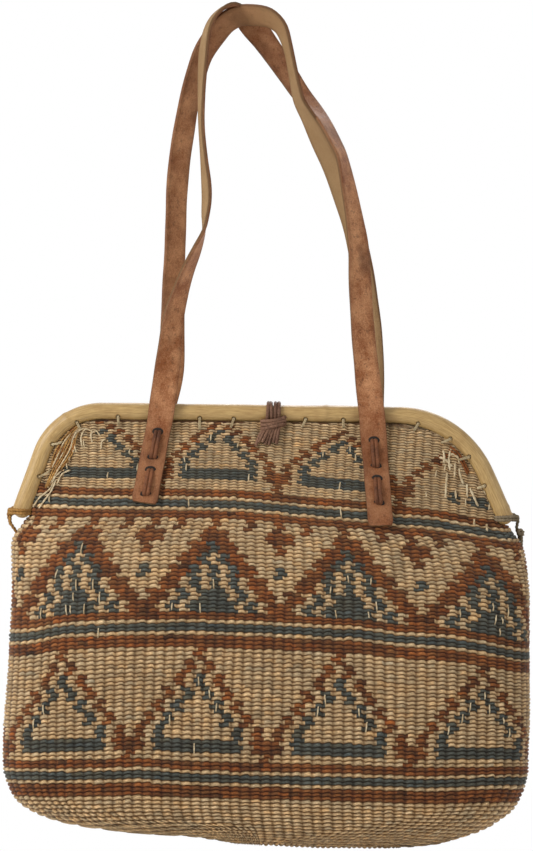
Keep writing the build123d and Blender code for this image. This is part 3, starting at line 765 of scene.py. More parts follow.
# Stitches of the front hoop in the photograph's pixels: the hole in the cane, and the end in the cloth
stitch_points = [
    ((40.6, 476.3), (50.6, 471.3)), ((52.2, 443.5), (60.5, 441.9)), ((76.7, 419.9), (79.6, 426.3)),
    ((119, 415.3), (119.4, 421.5)), ((160, 414), (160, 423)), ((200.5, 413.5), (200.2, 424)),
    ((234.5, 415), (231.5, 424)), ((306, 415.5), (302.5, 423)), ((343.8, 415), (343.8, 421)),
    ((376, 414.5), (376, 422)), ((419.4, 419.4), (415.5, 426)), ((454.2, 433.7), (445.5, 438)),
    ((473, 453.6), (463, 457)), ((484.2, 485.7), (479, 487.5)),
]
STITCH_MARGIN, STITCH_LEAST_DROP = 0.004, 0.003
STITCH_LEAST_REACH, STITCH_MOST_REACH = 0.0092, 0.0115
REAR_STITCHES = 15
STITCH_END_DISTANCE = 0.027


def seen_stitches():
    """The front hoop's stitches: distance along the cane, lean of the thread along it, and its reach."""
    stitches = []
    for hole, end in stitch_points:
        hole, end = photo_point(*hole), photo_point(*end)
        place = along_hoop(hole)
        lean = along_hoop(end) - place
        drop = math.sqrt(max(np.linalg.norm(hole - end) ** 2 - lean ** 2, STITCH_LEAST_DROP ** 2))
        reach = min(max(STITCH_MARGIN + drop, STITCH_LEAST_REACH), STITCH_MOST_REACH)
        stitches.append((round(place, 4), round(lean, 4), round(reach, 4)))
    return stitches


def guessed_stitches():
    """The rear hoop's stitches, which the photograph hides: even, with a random lean and reach."""
    rng = np.random.default_rng(5)
    last = run_along(hoop_line(0))[-1] - STITCH_END_DISTANCE
    return [(round(place, 4), round(rng.uniform(-0.003, 0.003), 4), round(rng.uniform(0.0095, 0.0115), 4))
            for place in np.linspace(STITCH_END_DISTANCE, last, REAR_STITCHES)]


front_stitches, rear_stitches = seen_stitches(), guessed_stitches()


def make_hoop(name, node_name, way, seed, holes):
    line = hoop_line(0)
    total = run_along(line)[-1]
    near_holes = [hole + step * HOLE_RADIUS / 4 for hole in holes for step in range(-7, 8)]
    even = np.linspace(CANE_END_TRIM, total - CANE_END_TRIM, CANE_RINGS)
    lengths = np.sort(np.concatenate([even, near_holes]))
    points, ways = along_line(line, lengths)
    caps = [(-CANE_RADIUS * math.sin(a), CANE_RADIUS * math.cos(a))
            for a in np.linspace(math.pi / 2 * 0.94, 0.15, 6)]
    rings, places, ring_marks_and_hole_shade = [], [], []

    def add(centre, direction, radius, length, mark):
        """One ring of the rod, sunk where a hole is, with painted shade in the hole and dark marks at the
        cane's nodes.
        """
        side = np.array([direction[1], -direction[0]])
        gap = min(abs(length - hole) for hole in holes)
        ring = []
        for k in range(CANE_SIDES):
            angle = math.tau * k / CANE_SIDES
            flat = 1 + 0.02 * math.sin(2 * angle + length * 19 + seed)
            turn = math.remainder(angle - way * HOLE_ANGLE, math.tau)
            sink = 1 / (1 + (math.hypot(gap, turn * radius) / HOLE_RADIUS) ** 8)
            reach = radius * flat - HOLE_DEPTH * sink
            out = side * math.cos(angle) * reach
            ring.append((centre[0] + out[0], way * HOOP_Y + math.sin(angle) * reach, centre[1] + out[1]))
            ring_marks_and_hole_shade.append(max(0.18 * mark, 2 * sink))
        rings.append(ring)
        places.append(length)

    for shift, size in caps:
        add(points[0] + ways[0] * shift, ways[0], size, shift, 0.3)
    for point, direction, length in zip(points, ways, lengths):
        swell = 0.00022 * math.sin(length * 37 + seed) + 0.00013 * math.sin(length * 91 + 2 * seed)
        mark = sum(math.exp(-((length - spot) / NODE_HALF_WIDTH) ** 2) for spot in CANE_NODES)
        add(point, direction, CANE_RADIUS - 0.0002 + swell + NODE_HEIGHT * mark, length, mark)
    for shift, size in caps[::-1]:
        add(points[-1] - ways[-1] * shift, ways[-1], size, total - shift, 0.3)
    mesh = surface_mesh(name, np.array(rings), places)
    point_values(mesh, "node_ring", ring_marks_and_hole_shade + [0.5, 0.5])
    piece = link(name, mesh, cane)
    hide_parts(node_name)
    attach(piece, "front_frame" if way < 0 else "rear_frame")


make_hoop("front_cane", "front_cane_hoop", -1, 1.0, [hole for hole, _, _ in front_stitches])
make_hoop("rear_cane", "rear_cane_hoop", 1, 4.0, [hole for hole, _, _ in rear_stitches])

# Frame stitches
# Pale three-ply twine that ties the rim of the cloth to each hoop: closed loops through a hole in the cane
# and through the cloth just inside it, pulled tight by hand, each a little different.
TWINE_RADIUS = 0.00062


def cord_tree():
    """Geometry nodes: a line of points becomes a cord of twisted plies."""
    tree = bpy.data.node_groups.new("plied_cord", "GeometryNodeTree")
    new_socket = tree.interface.new_socket
    new_socket("Geometry", in_out="INPUT", socket_type="NodeSocketGeometry")
    for name, value in (("Radius", 0.001), ("Ply depth", 0.22), ("Plies", 3.0), ("Turns per metre", 180.0),
                        ("Step", 0.0006), ("Sides", 12.0)):
        new_socket(name, in_out="INPUT", socket_type="NodeSocketFloat").default_value = value
    new_socket("Material", in_out="INPUT", socket_type="NodeSocketMaterial")
    new_socket("Geometry", in_out="OUTPUT", socket_type="NodeSocketGeometry")
    given = node(tree, "NodeGroupInput").outputs
    curve = node(tree, "GeometryNodeMeshToCurve", Mesh=given["Geometry"]).outputs[0]
    even = node(tree, "GeometryNodeResampleCurve", mode="LENGTH", Curve=curve,
                Length=given["Step"]).outputs[0]
    run = node(tree, "GeometryNodeSplineParameter").outputs["Length"]
    twist = times(times(run, given["Turns per metre"]), math.tau)
    turned = node(tree, "GeometryNodeSetCurveTilt", Curve=even, Tilt=twist).outputs[0]
    circle = node(tree, "GeometryNodeCurvePrimitiveCircle", Resolution=given["Sides"], Radius=1.0)
    index = node(tree, "GeometryNodeInputIndex").outputs[0]
    angle = calc("DIVIDE", times(index, math.tau), given["Sides"])
    lobe = calc("COSINE", times(angle, given["Plies"]))
    size = times(plus(times(lobe, given["Ply depth"]), 1.0), given["Radius"])
    size = calc("DIVIDE", size, plus(given["Ply depth"], 1.0))
    place = node(tree, "ShaderNodeCombineXYZ", X=times(calc("COSINE", angle), size),
                 Y=times(calc("SINE", angle), size)).outputs[0]
    made = node(tree, "GeometryNodeSetPosition", Geometry=circle.outputs["Curve"], Position=place).outputs[0]
    made = node(tree, "GeometryNodeCurveToMesh", Curve=turned,
                **{"Profile Curve": made, "Fill Caps": True}).outputs[0]
    for kind in ("SetShadeSmooth", "RealizeInstances"):
        made = node(tree, "GeometryNode" + kind, Geometry=made).outputs[0]
    made = node(tree, "GeometryNodeSetMaterial", Geometry=made, Material=given["Material"]).outputs[0]
    give(node(tree, "NodeGroupOutput").inputs[0], made)
    return tree


plied_cord = cord_tree()


def smooth_line(points, closed=False, steps=6):
    """A rounded line through the points."""
    points = [np.array(p, dtype=float) for p in points]
    padded = [points[-1], *points, *points[:2]] if closed else [points[0], *points, points[-1]]
    line = []
    for a, b, c, d in zip(padded, padded[1:], padded[2:], padded[3:]):
        for k in range(steps):
            t = k / steps
            line.append(0.5 * (2 * b + (c - a) * t + (2 * a - 5 * b + 4 * c - d) * t ** 2
                               + (3 * b - a - 3 * c + d) * t ** 3))
    return line if closed else line + [points[-1]]


def cord_piece(name, lines, material, radius, closed=False, ply_depth=0.22, plies=3, turns=180.0,
               step=0.0006, sides=12):
    """One piece of cord from several lines of points, made by the cord's geometry nodes."""
    points, edges = [], []
    for line in lines:
        first = len(points)
        points.extend([tuple(p) for p in line])
        edges.extend([(k, k + 1) for k in range(first, len(points) - 1)])
        if closed:
            edges.append((len(points) - 1, first))
    holder = new_object(name + "_line", new_mesh(name + "_line", points, [], edges))
    modifier = holder.modifiers.new("cord", "NODES")
    modifier.node_group = plied_cord
    values = {"Radius": radius, "Ply depth": ply_depth, "Plies": float(plies), "Turns per metre": turns,
              "Step": step, "Sides": float(sides), "Material": material}
    for item in plied_cord.interface.items_tree:
        if item.in_out == "INPUT" and item.name in values:
            modifier[item.identifier] = values[item.name]
    graph = bpy.context.evaluated_depsgraph_get()
    solid = bpy.data.meshes.new_from_object(holder.evaluated_get(graph))
    bpy.data.objects.remove(holder)
    solid.name = name
    return link(name, solid, material)


def twine_material(name, light, dark):
    material, tree, shader = new_material(name)
    place = object_place(tree)
    fibre = noise(place, 2200, 3, 0.6)
    share = plus(times(fibre, 0.7), times(noise(place, 120), 0.5))
    dress(shader, mix(ramp_value(share, 0.42, 0.78), dark, light), 0.85, 0.3, fibre, 0.5, 0.0003)
    return material


pale_twine = twine_material("pale_twine", "#D8C7A0", "#8C7350")


def cloth_depth(x, height):
    """Distance from the middle plane to the cloth's outer face."""
    ribs = np.linspace(0, QUARTER_RIBS, 200) * (1 if x >= 0 else -1)
    line = cloth_point(ribs, np.full(len(ribs), length_at(height)))
    return float(np.interp(abs(x), np.abs(line[:, 0]), line[:, 1]))


def make_frame_stitches(name, node_name, way, stitches):
    line = hoop_line(0)
    loops = []
    for distance, lean, reach in stitches:
        points, ways = along_line(line, np.array([distance]))
        (x, z), (way_x, way_z) = points[0], ways[0]
        inward = np.array([way_z, -way_x])

        def at(depth, aside, out):
            return (x + depth * inward[0] + aside * way_x, way * out, z + depth * inward[1] + aside * way_z)

        hole_in = CANE_RADIUS * math.cos(HOLE_ANGLE)
        hole_out = CANE_RADIUS * math.sin(HOLE_ANGLE)
        entry = at(reach, lean, 0)
        face = cloth_depth(entry[0], entry[2])
        for twin in (-0.0004, 0.0004):
            loops.append(smooth_line([
                at(hole_in * 0.3, twin, HOOP_Y + hole_out * 0.3),
                at(hole_in, twin, HOOP_Y + hole_out + 0.0004),
                at(hole_in + 0.0012, twin + lean * 0.2, HOOP_Y + hole_out + 0.0004),
                at((hole_in + reach) / 2 + 0.0006, twin + lean * 0.6, max(face + 0.0022, HOOP_Y + 0.004)),
                at(reach - 0.0004, twin + lean, face + 0.0013), at(reach, twin + lean, face - 0.0015),
                at(reach, twin + lean, face - WALL - 0.0009),
                at(hole_in + 0.0018, twin + lean * 0.4, HOOP_Y - hole_out - 0.0006),
                at(hole_in, twin, HOOP_Y - hole_out - 0.0002),
                at(hole_in * 0.3, twin, HOOP_Y - hole_out * 0.3),
            ], closed=True, steps=4))
    piece = cord_piece(name, loops, pale_twine, TWINE_RADIUS, closed=True, turns=260, sides=9)
    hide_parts(node_name)
    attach(piece, "front_frame" if way < 0 else "rear_frame")


make_frame_stitches("front_rim_twine", "front_frame_stitches", -1, front_stitches)
make_frame_stitches("rear_rim_twine", "rear_frame_stitches", 1, rear_stitches)

# Hinge lashings
# Twisted cord that ties each pair of cane ends together and down to the cloth's side seam: two turns round
# both canes, one down through the cloth, and an outside knot with two short tails.
CORD_RADIUS = 0.0014


def lashing_lines(side, hinge_x, corner_x, knot_drop, seed):
    """Closed lines of the turns at one hinge, and open lines of its knot and tails."""
    rng = np.random.default_rng(seed)
    lean = abs(corner_x - hinge_x)
    rise = BAR_HEIGHT - HINGE_HEIGHT
    reach = CANE_RADIUS / (rise / math.hypot(lean, rise)) + CORD_RADIUS * 0.8
    out_x, in_x = hinge_x + side * reach, hinge_x - side * reach
    low = HINGE_HEIGHT - 0.016
    seam = cloth_point(np.array(float(side) * QUARTER_RIBS), np.array(length_at(low)))[0]
    lines = []
    for turn in range(2):
        z = HINGE_HEIGHT + (turn - 0.5) * 0.0022
        spread = 0.0004 * turn
        wrap = HOOP_Y + 0.0020
        lines.append(smooth_line([
            (out_x + side * spread, 0.0, z), (out_x, -wrap * 0.8, z + 0.0004), (hinge_x, -wrap - 0.0048, z),
            (in_x, -wrap * 0.8, z), (in_x, wrap * 0.8, z - 0.0004), (hinge_x, wrap + 0.0048, z),
            (out_x, wrap * 0.8, z),
        ], closed=True))
    lines.append(smooth_line([
        (out_x + side * 0.0008, 0.0008, HINGE_HEIGHT + 0.001),
        (out_x + side * 0.0004, 0.001, HINGE_HEIGHT - 0.007),
        (seam + side * 0.0008, 0.0006, low + 0.002), (seam - side * 0.001, 0, low - 0.001),
        (seam - side * (WALL + 0.0030), 0, low + 0.002), (in_x - side * 0.0012, 0.0, HINGE_HEIGHT - 0.007),
        (in_x, 0.0, HINGE_HEIGHT + 0.001), (hinge_x, 0.0004, HINGE_HEIGHT + 0.0040),
    ], closed=True))
    knot = np.array([out_x - side * 0.0006, -0.0006, HINGE_HEIGHT - knot_drop])
    seat = seam + side * 0.0016
    knot[0] = seat if side * seat > side * knot[0] else knot[0]
    ball = []
    for k in range(26):
        t = k / 25
        angle = t * math.tau * 2.6
        ball.append(knot + np.array([0.0017 * math.cos(angle), 0.0021 * math.sin(angle * 1.31 + 0.4),
                                     0.0019 * math.cos(angle * 1.13 + 1.1)]))
    tails = []
    for turn, lean_y in ((0, -0.0042), (1, 0.0030)):
        end = knot + np.array([side * 0.0006, lean_y, -0.0085 - 0.001 * turn])
        middle = (knot + end) / 2 + np.array([side * 0.0004, rng.uniform(-0.0008, 0.0008), 0.0])
        tails.append(smooth_line([knot, middle, end]))
    return lines, [smooth_line(ball, steps=2)] + tails


golden_cord = twine_material("golden_cord", "#C0924F", "#6A4420")
grey_cord = twine_material("grey_cord", "#A08F74", "#50432F")
for side, name, cord, hinge_x, corner_x, knot_drop in (
    (-1, "left", golden_cord, LEFT_HINGE_X, LEFT_CORNER_X, 0.0),
    (1, "right", grey_cord, RIGHT_HINGE_X, RIGHT_CORNER_X, 0.010),
):
    turn_lines, knot_lines = lashing_lines(side, hinge_x, corner_x, knot_drop, 21 + side)
    for part, lines, closed, size in (("turns", turn_lines, True, 0.95), ("knot", knot_lines, False, 0.85)):
        piece = cord_piece(f"{name}_lashing_{part}", lines, cord, CORD_RADIUS * size, closed=closed,
                           turns=130, step=0.0008)
        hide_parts(f"{name}_hinge_lashing")
        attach(piece, "bag")

# Shoulder straps
# Two long strips of thick oiled leather, cut by hand, smooth on the grain side and pale and rough on the
# flesh side. Each is laced to the cloth at both ends and rises over the bar; they cross near the top.
STRAP_WIDTH = 0.0185
STRAP_THICKNESS = 0.0026
STRAP_LEFT_X, STRAP_RIGHT_X = -0.0757, 0.0756
LEFT_TAB_END, RIGHT_TAB_END = 0.248, 0.234
LEFT_TAB_LEAN, RIGHT_TAB_LEAN = 0.0111, -0.0072
STRAP_STEP = 0.0032
STRAP_SPLIT = 0.322
END_TAPER, END_TAPER_LENGTH = 0.13, 0.0016

def free_stations(rows):
    """Stations with their height above the bar."""
    stations = []
    for across, down, depth, turn in rows:
        x, z = np.round(photo_point(across, down) - (0, BAR_HEIGHT), 4).tolist()
        stations.append((x, depth, z, turn))
    return stations


# Along the free part, picked on the photograph: pixels across and down, how far to the back, which is
# guessed, and the turn in degrees
front_free = free_stations([
    (169.6, 356, -0.017, -28), (173.5, 322, -0.017, -40), (180, 296, -0.0165, -54),
    (188, 272, -0.0165, -66), (197.4, 250, -0.0165, -76), (204.4, 231, -0.0165, -90),
    (206.2, 215, -0.0165, -101), (207.4, 199, -0.0165, -106), (206.9, 183, -0.0165, -106),
    (204.8, 159.4, -0.0165, -100), (202.3, 127.6, -0.016, -97), (202.2, 95.7, -0.014, -100),
    (203.6, 63.8, -0.012, -105), (205, 47.8, -0.0118, -105), (207.8, 32, -0.0115, -102),
    (213, 19.5, -0.010, -98), (221, 10.6, -0.007, -94), (229.7, 6.2, -0.0025, -86),
    (237.5, 7.5, 0.002, -72), (244.5, 14, 0.0055, -42), (252.6, 23.8, 0.0085, -5),
    (259.6, 32.8, 0.0095, 20), (266, 41.5, 0.010, 30), (278.3, 58.7, 0.010, 38),
    (290.8, 77.2, 0.010, 42), (301.8, 93.7, 0.009, 48), (316.6, 111.6, 0.0015, 58),
    (325, 122.8, -0.0055, 64), (335.8, 143.5, -0.012, 67), (342.5, 159.4, -0.015, 68),
    (349.5, 191.3, -0.017, 59), (355.2, 223.2, -0.0175, 50), (358.9, 250, -0.0175, 42),
    (360.2, 280, -0.0175, 37), (363, 330, -0.0175, 30), (367, 370, -0.0173, 18),
])
rear_free = free_stations([
    (171.8, 370, 0.017, 14), (172.6, 330, 0.017, 28), (173.8, 290, 0.017, 36),
    (175.1, 250, 0.017, 41), (176.1, 223, 0.017, 41), (177.1, 191.3, 0.017, 41),
    (179.9, 159.4, 0.0165, 41), (184.7, 127.6, 0.0155, 42), (190.5, 95.7, 0.0135, 44),
    (199.4, 63.8, 0.0105, 44), (206.2, 48.2, 0.009, 42), (217.4, 32.4, 0.007, 41),
    (226.6, 22.2, 0.004, 39), (238.8, 15.8, 0.0005, 40), (252.8, 15.2, -0.003, 41),
    (266.4, 17, -0.0055, 45), (275.2, 21.5, -0.0075, 55), (282.7, 30.3, -0.009, 66),
    (288.4, 47.8, -0.010, 75), (293.4, 71.7, -0.0105, 75), (296.6, 87.7, -0.010, 73),
    (300.4, 102, -0.008, 70), (311, 121.2, -0.0035, 60), (323.8, 146.7, 0.0025, 46),
    (335.6, 172.2, 0.0085, 44), (344.8, 199.3, 0.013, 47), (353.3, 223.2, 0.016, 45),
    (358, 243, 0.017, 43), (363, 270, 0.017, 36), (368.5, 310, 0.017, 26),
    (371.5, 350, 0.017, 16), (372, 378, 0.017, 10),
])


def cloth_turn(x, height):
    """How far the cloth faces outwards at a place, in degrees."""
    step = 0.005
    side = 1 if x > 0 else -1
    inward, outward = cloth_depth(x - side * step, height), cloth_depth(x + side * step, height)
    return math.degrees(math.atan2(inward - outward, 2 * step))


def tab_stations(bar_x, end_height, lean, way):
    """Stations of a strap's laced end, from its cut end up to the bar, lying on the cloth."""
    bar_y = HOOP_Y + CANE_RADIUS + 0.0017 + STRAP_THICKNESS / 2
    seat = 0.0007 + 1.1 * (0.0003 + STRAP_THICKNESS / 2) + 0.0004
    stations = []
    for height in np.linspace(end_height, BAR_HEIGHT - 0.022, 6):
        x = bar_x - lean * (BAR_HEIGHT - height) / (BAR_HEIGHT - end_height)
        depth = max(cloth_depth(x, height) + seat, bar_y)
        stations.append((x, way * depth, height, cloth_turn(x, height)))
    stations.append((bar_x - lean * 0.1, way * (bar_y + 0.0002), BAR_HEIGHT - 0.008, 2.0))
    stations.append((bar_x, way * (bar_y + 0.0004), BAR_HEIGHT, 0.0))
    return stations


def strap_line(free, way):
    """Even stations of a strap, from one laced end over the top to the other: its place and its turn."""
    left = tab_stations(STRAP_LEFT_X, LEFT_TAB_END, LEFT_TAB_LEAN, way)
    right = tab_stations(STRAP_RIGHT_X, RIGHT_TAB_END, RIGHT_TAB_LEAN, way)
    loop = [(x, y, BAR_HEIGHT + rise, turn) for x, y, rise, turn in free]
    line = np.array(smooth_line(left + loop + right[::-1], steps=12))
    run = run_along(line[:, :3])
    even = np.linspace(0, run[-1], int(run[-1] / STRAP_STEP))
    return at_run(line, run, even), even


def strap_section():
    """The strap's cut, a flat strip with rounded edges, as shares of half-width and half-thickness."""
    section = []
    for sx, sy in ((1, 1), (-1, 1), (-1, -1), (1, -1)):
        corner = [(0.955, 1.0), (0.988, 0.86), (1.0, 0.45)]
        if sx * sy > 0:
            corner = corner[::-1] + [(a, 1.0) for a in (0.6, 0.2, -0.2, -0.6)]
        section += [(sx * a, sy * b) for a, b in corner]
    return section


def leather_group():
    """Shader group: worn leather grain as a colour share, a dark stain mask and a height."""
    group = bpy.data.node_groups.new("worn_leather", "ShaderNodeTree")
    for name, kind in (("Place", "Vector"), ("Grain size", "Float")):
        group.interface.new_socket(name, in_out="INPUT", socket_type="NodeSocket" + kind)
    for name in ("Tone", "Stain", "Height"):
        group.interface.new_socket(name, in_out="OUTPUT", socket_type="NodeSocketFloat")
    place, grain_size = node(group, "NodeGroupInput").outputs[:2]
    result = node(group, "NodeGroupOutput").inputs
    cells = node(group, "ShaderNodeTexVoronoi", feature="DISTANCE_TO_EDGE", Vector=place, Scale=grain_size)
    fine = noise(place, 900, 5, 0.85)
    dots = ramp_value(noise(place, 330), 0.60, 0.68)
    stain = ramp_value(noise(place, 24, 3, 0.7), 0.56, 0.74)
    height = plus(ramp_value(cells.outputs["Distance"], 0.0, 0.12), fine)
    give(result["Tone"], plus(times(noise(place, 60, 4, 0.65), 0.5), times(fine, 0.5)))
    give(result["Stain"], calc("MAXIMUM", times(dots, 0.55), stain))
    give(result["Height"], calc("SUBTRACT", height, times(dots, 0.6)))
    return group


worn_leather = leather_group()


def leather_material(name, light, dark, stain, flesh):
    material, tree, shader = new_material(name)
    leather = node(tree, "ShaderNodeGroup", node_tree=worn_leather, Place=object_place(tree),
                   **{"Grain size": 900})
    grain, stains, height = leather.outputs[:3]
    inner = mesh_value(tree, "flesh")
    tone = mix(ramp_value(grain, 0.40, 0.60), dark, light)
    tone = mix(times(stains, 0.65), tone, stain)
    tone = mix(times(mesh_value(tree, "handled"), 0.46), tone, "#602E0A")
    tone = mix(inner, tone, mix(grain, flesh, "#7B5A38"))
    tone = mix(times(mesh_value(tree, "edge"), 0.6), tone, "#4A2A16")
    rough = plus(ramp_value(grain, 0.3, 0.7, 0.44, 0.62), times(inner, 0.3))
    dress(shader, tone, rough, 0.25, height, 0.55, 0.0004)
    return material


strap_leather = leather_material("strap_leather", "#D59A6C", "#8E5027", "#3A1D0D", "#B5956B")


def strap_rings(free, way, seed):
    """Rings of points along a strap, their distances along it, and the strap's line."""
    line, lengths = strap_line(free, way)
    places, turn = line[:, :3], np.radians(line[:, 3:])
    along = unit(np.gradient(places, axis=0))
    outward = unit(along[:, [2, 1, 0]] * (-1, 0, 1))
    grain = np.array([0.0, way, 0.0]) * np.cos(turn) + outward * np.sin(turn)
    grain = unit(grain - along * (grain * along).sum(axis=1, keepdims=True))
    across = np.cross(along, grain)
    from_end = np.minimum(lengths, lengths[-1] - lengths)
    taper = 1 - END_TAPER * np.clip(1 - from_end / END_TAPER_LENGTH, 0, 1)
    width = STRAP_WIDTH / 2 * (1 + 0.02 * np.sin(lengths * 61 + seed) + 0.012 * np.sin(lengths * 173 + seed))
    rings = np.stack([
        places + across * (width * taper * a)[:, None]
        + grain * STRAP_THICKNESS / 2 * (b + 0.12 * (a * a - 0.4) * math.copysign(1, b))
        for a, b in strap_section()
    ], axis=1)
    return rings, lengths, line


def face_outwards(mesh):
    bm = bmesh.new()
    bm.from_mesh(mesh)
    bmesh.ops.recalc_face_normals(bm, faces=bm.faces)
    bm.to_mesh(mesh)
    bm.free()


def strap_piece(name, node_name, way, rings, lengths, line):
    """A length of strap; its points say how much flesh side, cut edge and handled leather they show."""
    mesh = surface_mesh(name, rings, lengths)
    count, sides = rings.shape[:2]
    heights = line[:, 2]
    section = strap_section()
    flesh = np.array([1.0 if b < 0 else 0.0 for _, b in section])
    # On the rear strap the flesh side is darker towards the left: from x 0.012 to -0.045 its pale colour
    # gives way to the grain side's colour.
    flesh_pale_share = np.interp(line[:, 0], (-0.045, 0.012), (0.12, 1.0)) if way > 0 else np.ones(count)
    edge = np.array([1.0 if abs(a) > 0.97 else (0.45 if abs(a) > 0.9 else 0.0) for a, _ in section])
    handled = np.maximum(np.clip((0.335 - heights) / 0.04, 0, 1),
                         0.8 * np.clip((heights - 0.525) / 0.03, 0, 1))
    for attribute, values in (("flesh", (flesh_pale_share[:, None] * flesh).ravel()), ("edge", np.tile(edge, count)),
                              ("handled", np.repeat(handled, sides))):
        point_values(mesh, attribute, np.append(values, [0.5, 0.5]))
    face_outwards(mesh)
    mesh.set_sharp_from_angle(angle=math.radians(50))
    piece = link(name, mesh, strap_leather)
    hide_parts(node_name)
    return piece


tab_lines = {}
for word, free, way, seed in (("front", front_free, -1, 2.0), ("rear", rear_free, 1, 5.0)):
    rings, lengths, line = strap_rings(free, way, seed)
    body, strap = f"{word}_frame", f"{word}_strap"
    above = np.where(line[:, 2] >= STRAP_SPLIT)[0]
    first, last = above[0], above[-1]
    part = slice(first, last + 1)
    piece = strap_piece(f"{strap}_loop", strap, way, rings[part], lengths[part], line[part])
    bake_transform(piece)
    for side, part in (("left", slice(0, first + 1)), ("right", slice(last, len(line)))):
        tab = line[part]
        piece = strap_piece(f"{word}_{side}_strap_end", strap, way, rings[part], lengths[part], tab)
        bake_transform(piece)
        tab_lines[word, side] = tab[np.argsort(tab[:, 2])]

# Lacings
# Dark leather thong, doubled, that stitches each strap end to the cloth: out through a slit, down over the
# strap and back in, twice, and knotted inside.
LACE_RADIUS = 0.0016
SLIT_DROPS = (0.0, 0.0185, 0.0275, 0.0450)
SLIT_HALF_WIDTH, SLIT_HALF_HEIGHT = 0.0041, 0.0029
SLIT_SIDES = 16
thong_leather = leather_material("thong_leather", "#8C5736", "#4E2B17", "#2A150B", "#6F4B30")


def tab_face(tab, height):
    """Middle and outer face of a strap end at a height, as (across, distance from the middle plane)."""
    return (float(np.interp(height, tab[:, 2], tab[:, 0])),
            float(np.interp(height, tab[:, 2], np.abs(tab[:, 1]))) + 0.53 * STRAP_THICKNESS)


# Painted shade: the near-black colour of the shadow inside a punched slit.
slit_painted_shade = new_material("slit_painted_shade", (0.012, 0.006, 0.003), 0.9)[0]


def slit_shadow_piece(name, tab, heights, way):
    """Painted shadow of each punched slit: a dark, shallow lens set into the strap's face."""
    points, faces = [], []
    for z in heights:
        x, face = tab_face(tab, z)
        first = len(points)
        for size, out in ((1.0, 0.0), (0.7, 0.00030), (0.7, -0.0005)):
            points += [(x + size * SLIT_HALF_WIDTH * math.cos(a), way * (face + out),
                        z + size * SLIT_HALF_HEIGHT * math.sin(a))
                       for a in np.linspace(0, math.tau, SLIT_SIDES + 1)[:-1]]
        points += [(x, way * (face + 0.00034), z), (x, way * (face - 0.0006), z)]
        rim, front, back, middle = (first + SLIT_SIDES * k for k in range(4))
        for k in range(SLIT_SIDES):
            n = (k + 1) % SLIT_SIDES
            faces += [(rim + k, rim + n, front + n, front + k), (rim + n, rim + k, back + k, back + n),
                      (front + k, front + n, middle), (back + n, back + k, middle + 1)]
    mesh = new_mesh(name, points, faces, smooth=False)
    face_outwards(mesh)
    return link(name, mesh, slit_painted_shade)


def make_lacing(word, side_name, drop, way):
    tab = tab_lines[word, side_name]
    heights = [BAR_HEIGHT - drop - gap for gap in SLIT_DROPS]
    lines = []
    for shift in (-0.5, 0.5):
        points = []
        for k, z in enumerate(heights):
            x, face = tab_face(tab, z)
            behind = cloth_depth(x, z) - WALL - LACE_RADIUS - 0.0006
            down = -0.0016 if k % 2 == 0 else 0.0016
            lean_x = tab_face(tab, z + down)[0]
            pair = [
                (x + shift * 0.0018, way * behind, z), (x + shift * 0.0021, way * (face - 0.001), z),
                (lean_x + shift * 0.0027, way * (face + LACE_RADIUS * 0.55), z + down),
            ]
            points += pair if k % 2 == 0 else pair[::-1]
            if k % 2 == 0:
                middle = (z + heights[k + 1]) / 2
                middle_x, middle_face = tab_face(tab, middle)
                points.append((middle_x + shift * 0.0027, way * (middle_face + LACE_RADIUS * 1.05), middle))
        lines.append(smooth_line(points, steps=6))
    knots = []
    for z in (heights[0], heights[3]):
        x, _ = tab_face(tab, z)
        centre = np.array([x, way * (cloth_depth(x, z) - WALL - 0.0030), z])
        knots.append(smooth_line([
            centre + 0.0013 * np.array([math.cos(2.1 * k), 0.8 * math.sin(1.7 * k), math.sin(2.1 * k)])
            for k in range(10)], steps=4))
    piece = cord_piece(f"{word}_{side_name}_lacing_thong", lines + knots, thong_leather, LACE_RADIUS,
                       ply_depth=0.05, plies=4, turns=6, sides=10, step=0.0009)
    # Dark lenses that stand for the shadow in each punched slit: painted shade.
    slit_shadows = slit_shadow_piece(f"{word}_{side_name}_slits", tab, heights, way)
    for made in (piece, slit_shadows):
        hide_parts(f"{word}_{side_name}_lacing")
        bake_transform(made)


for word, way in (("front", -1), ("rear", 1)):
    make_lacing(word, "left", 0.014, way)
    make_lacing(word, "right", 0.018, way)

# Thong closure
# A hitch of paler, worn thong on the front bar: four turns over the cane, gathered under it by a tight
# wrap, with the cut ends hanging in a fan.
CLOSURE_X = 0.0048
CLOSURE_PITCH = 0.0027
CLOSURE_RADIUS = 0.00145
WRAP_HALF_WIDTH = 0.0084


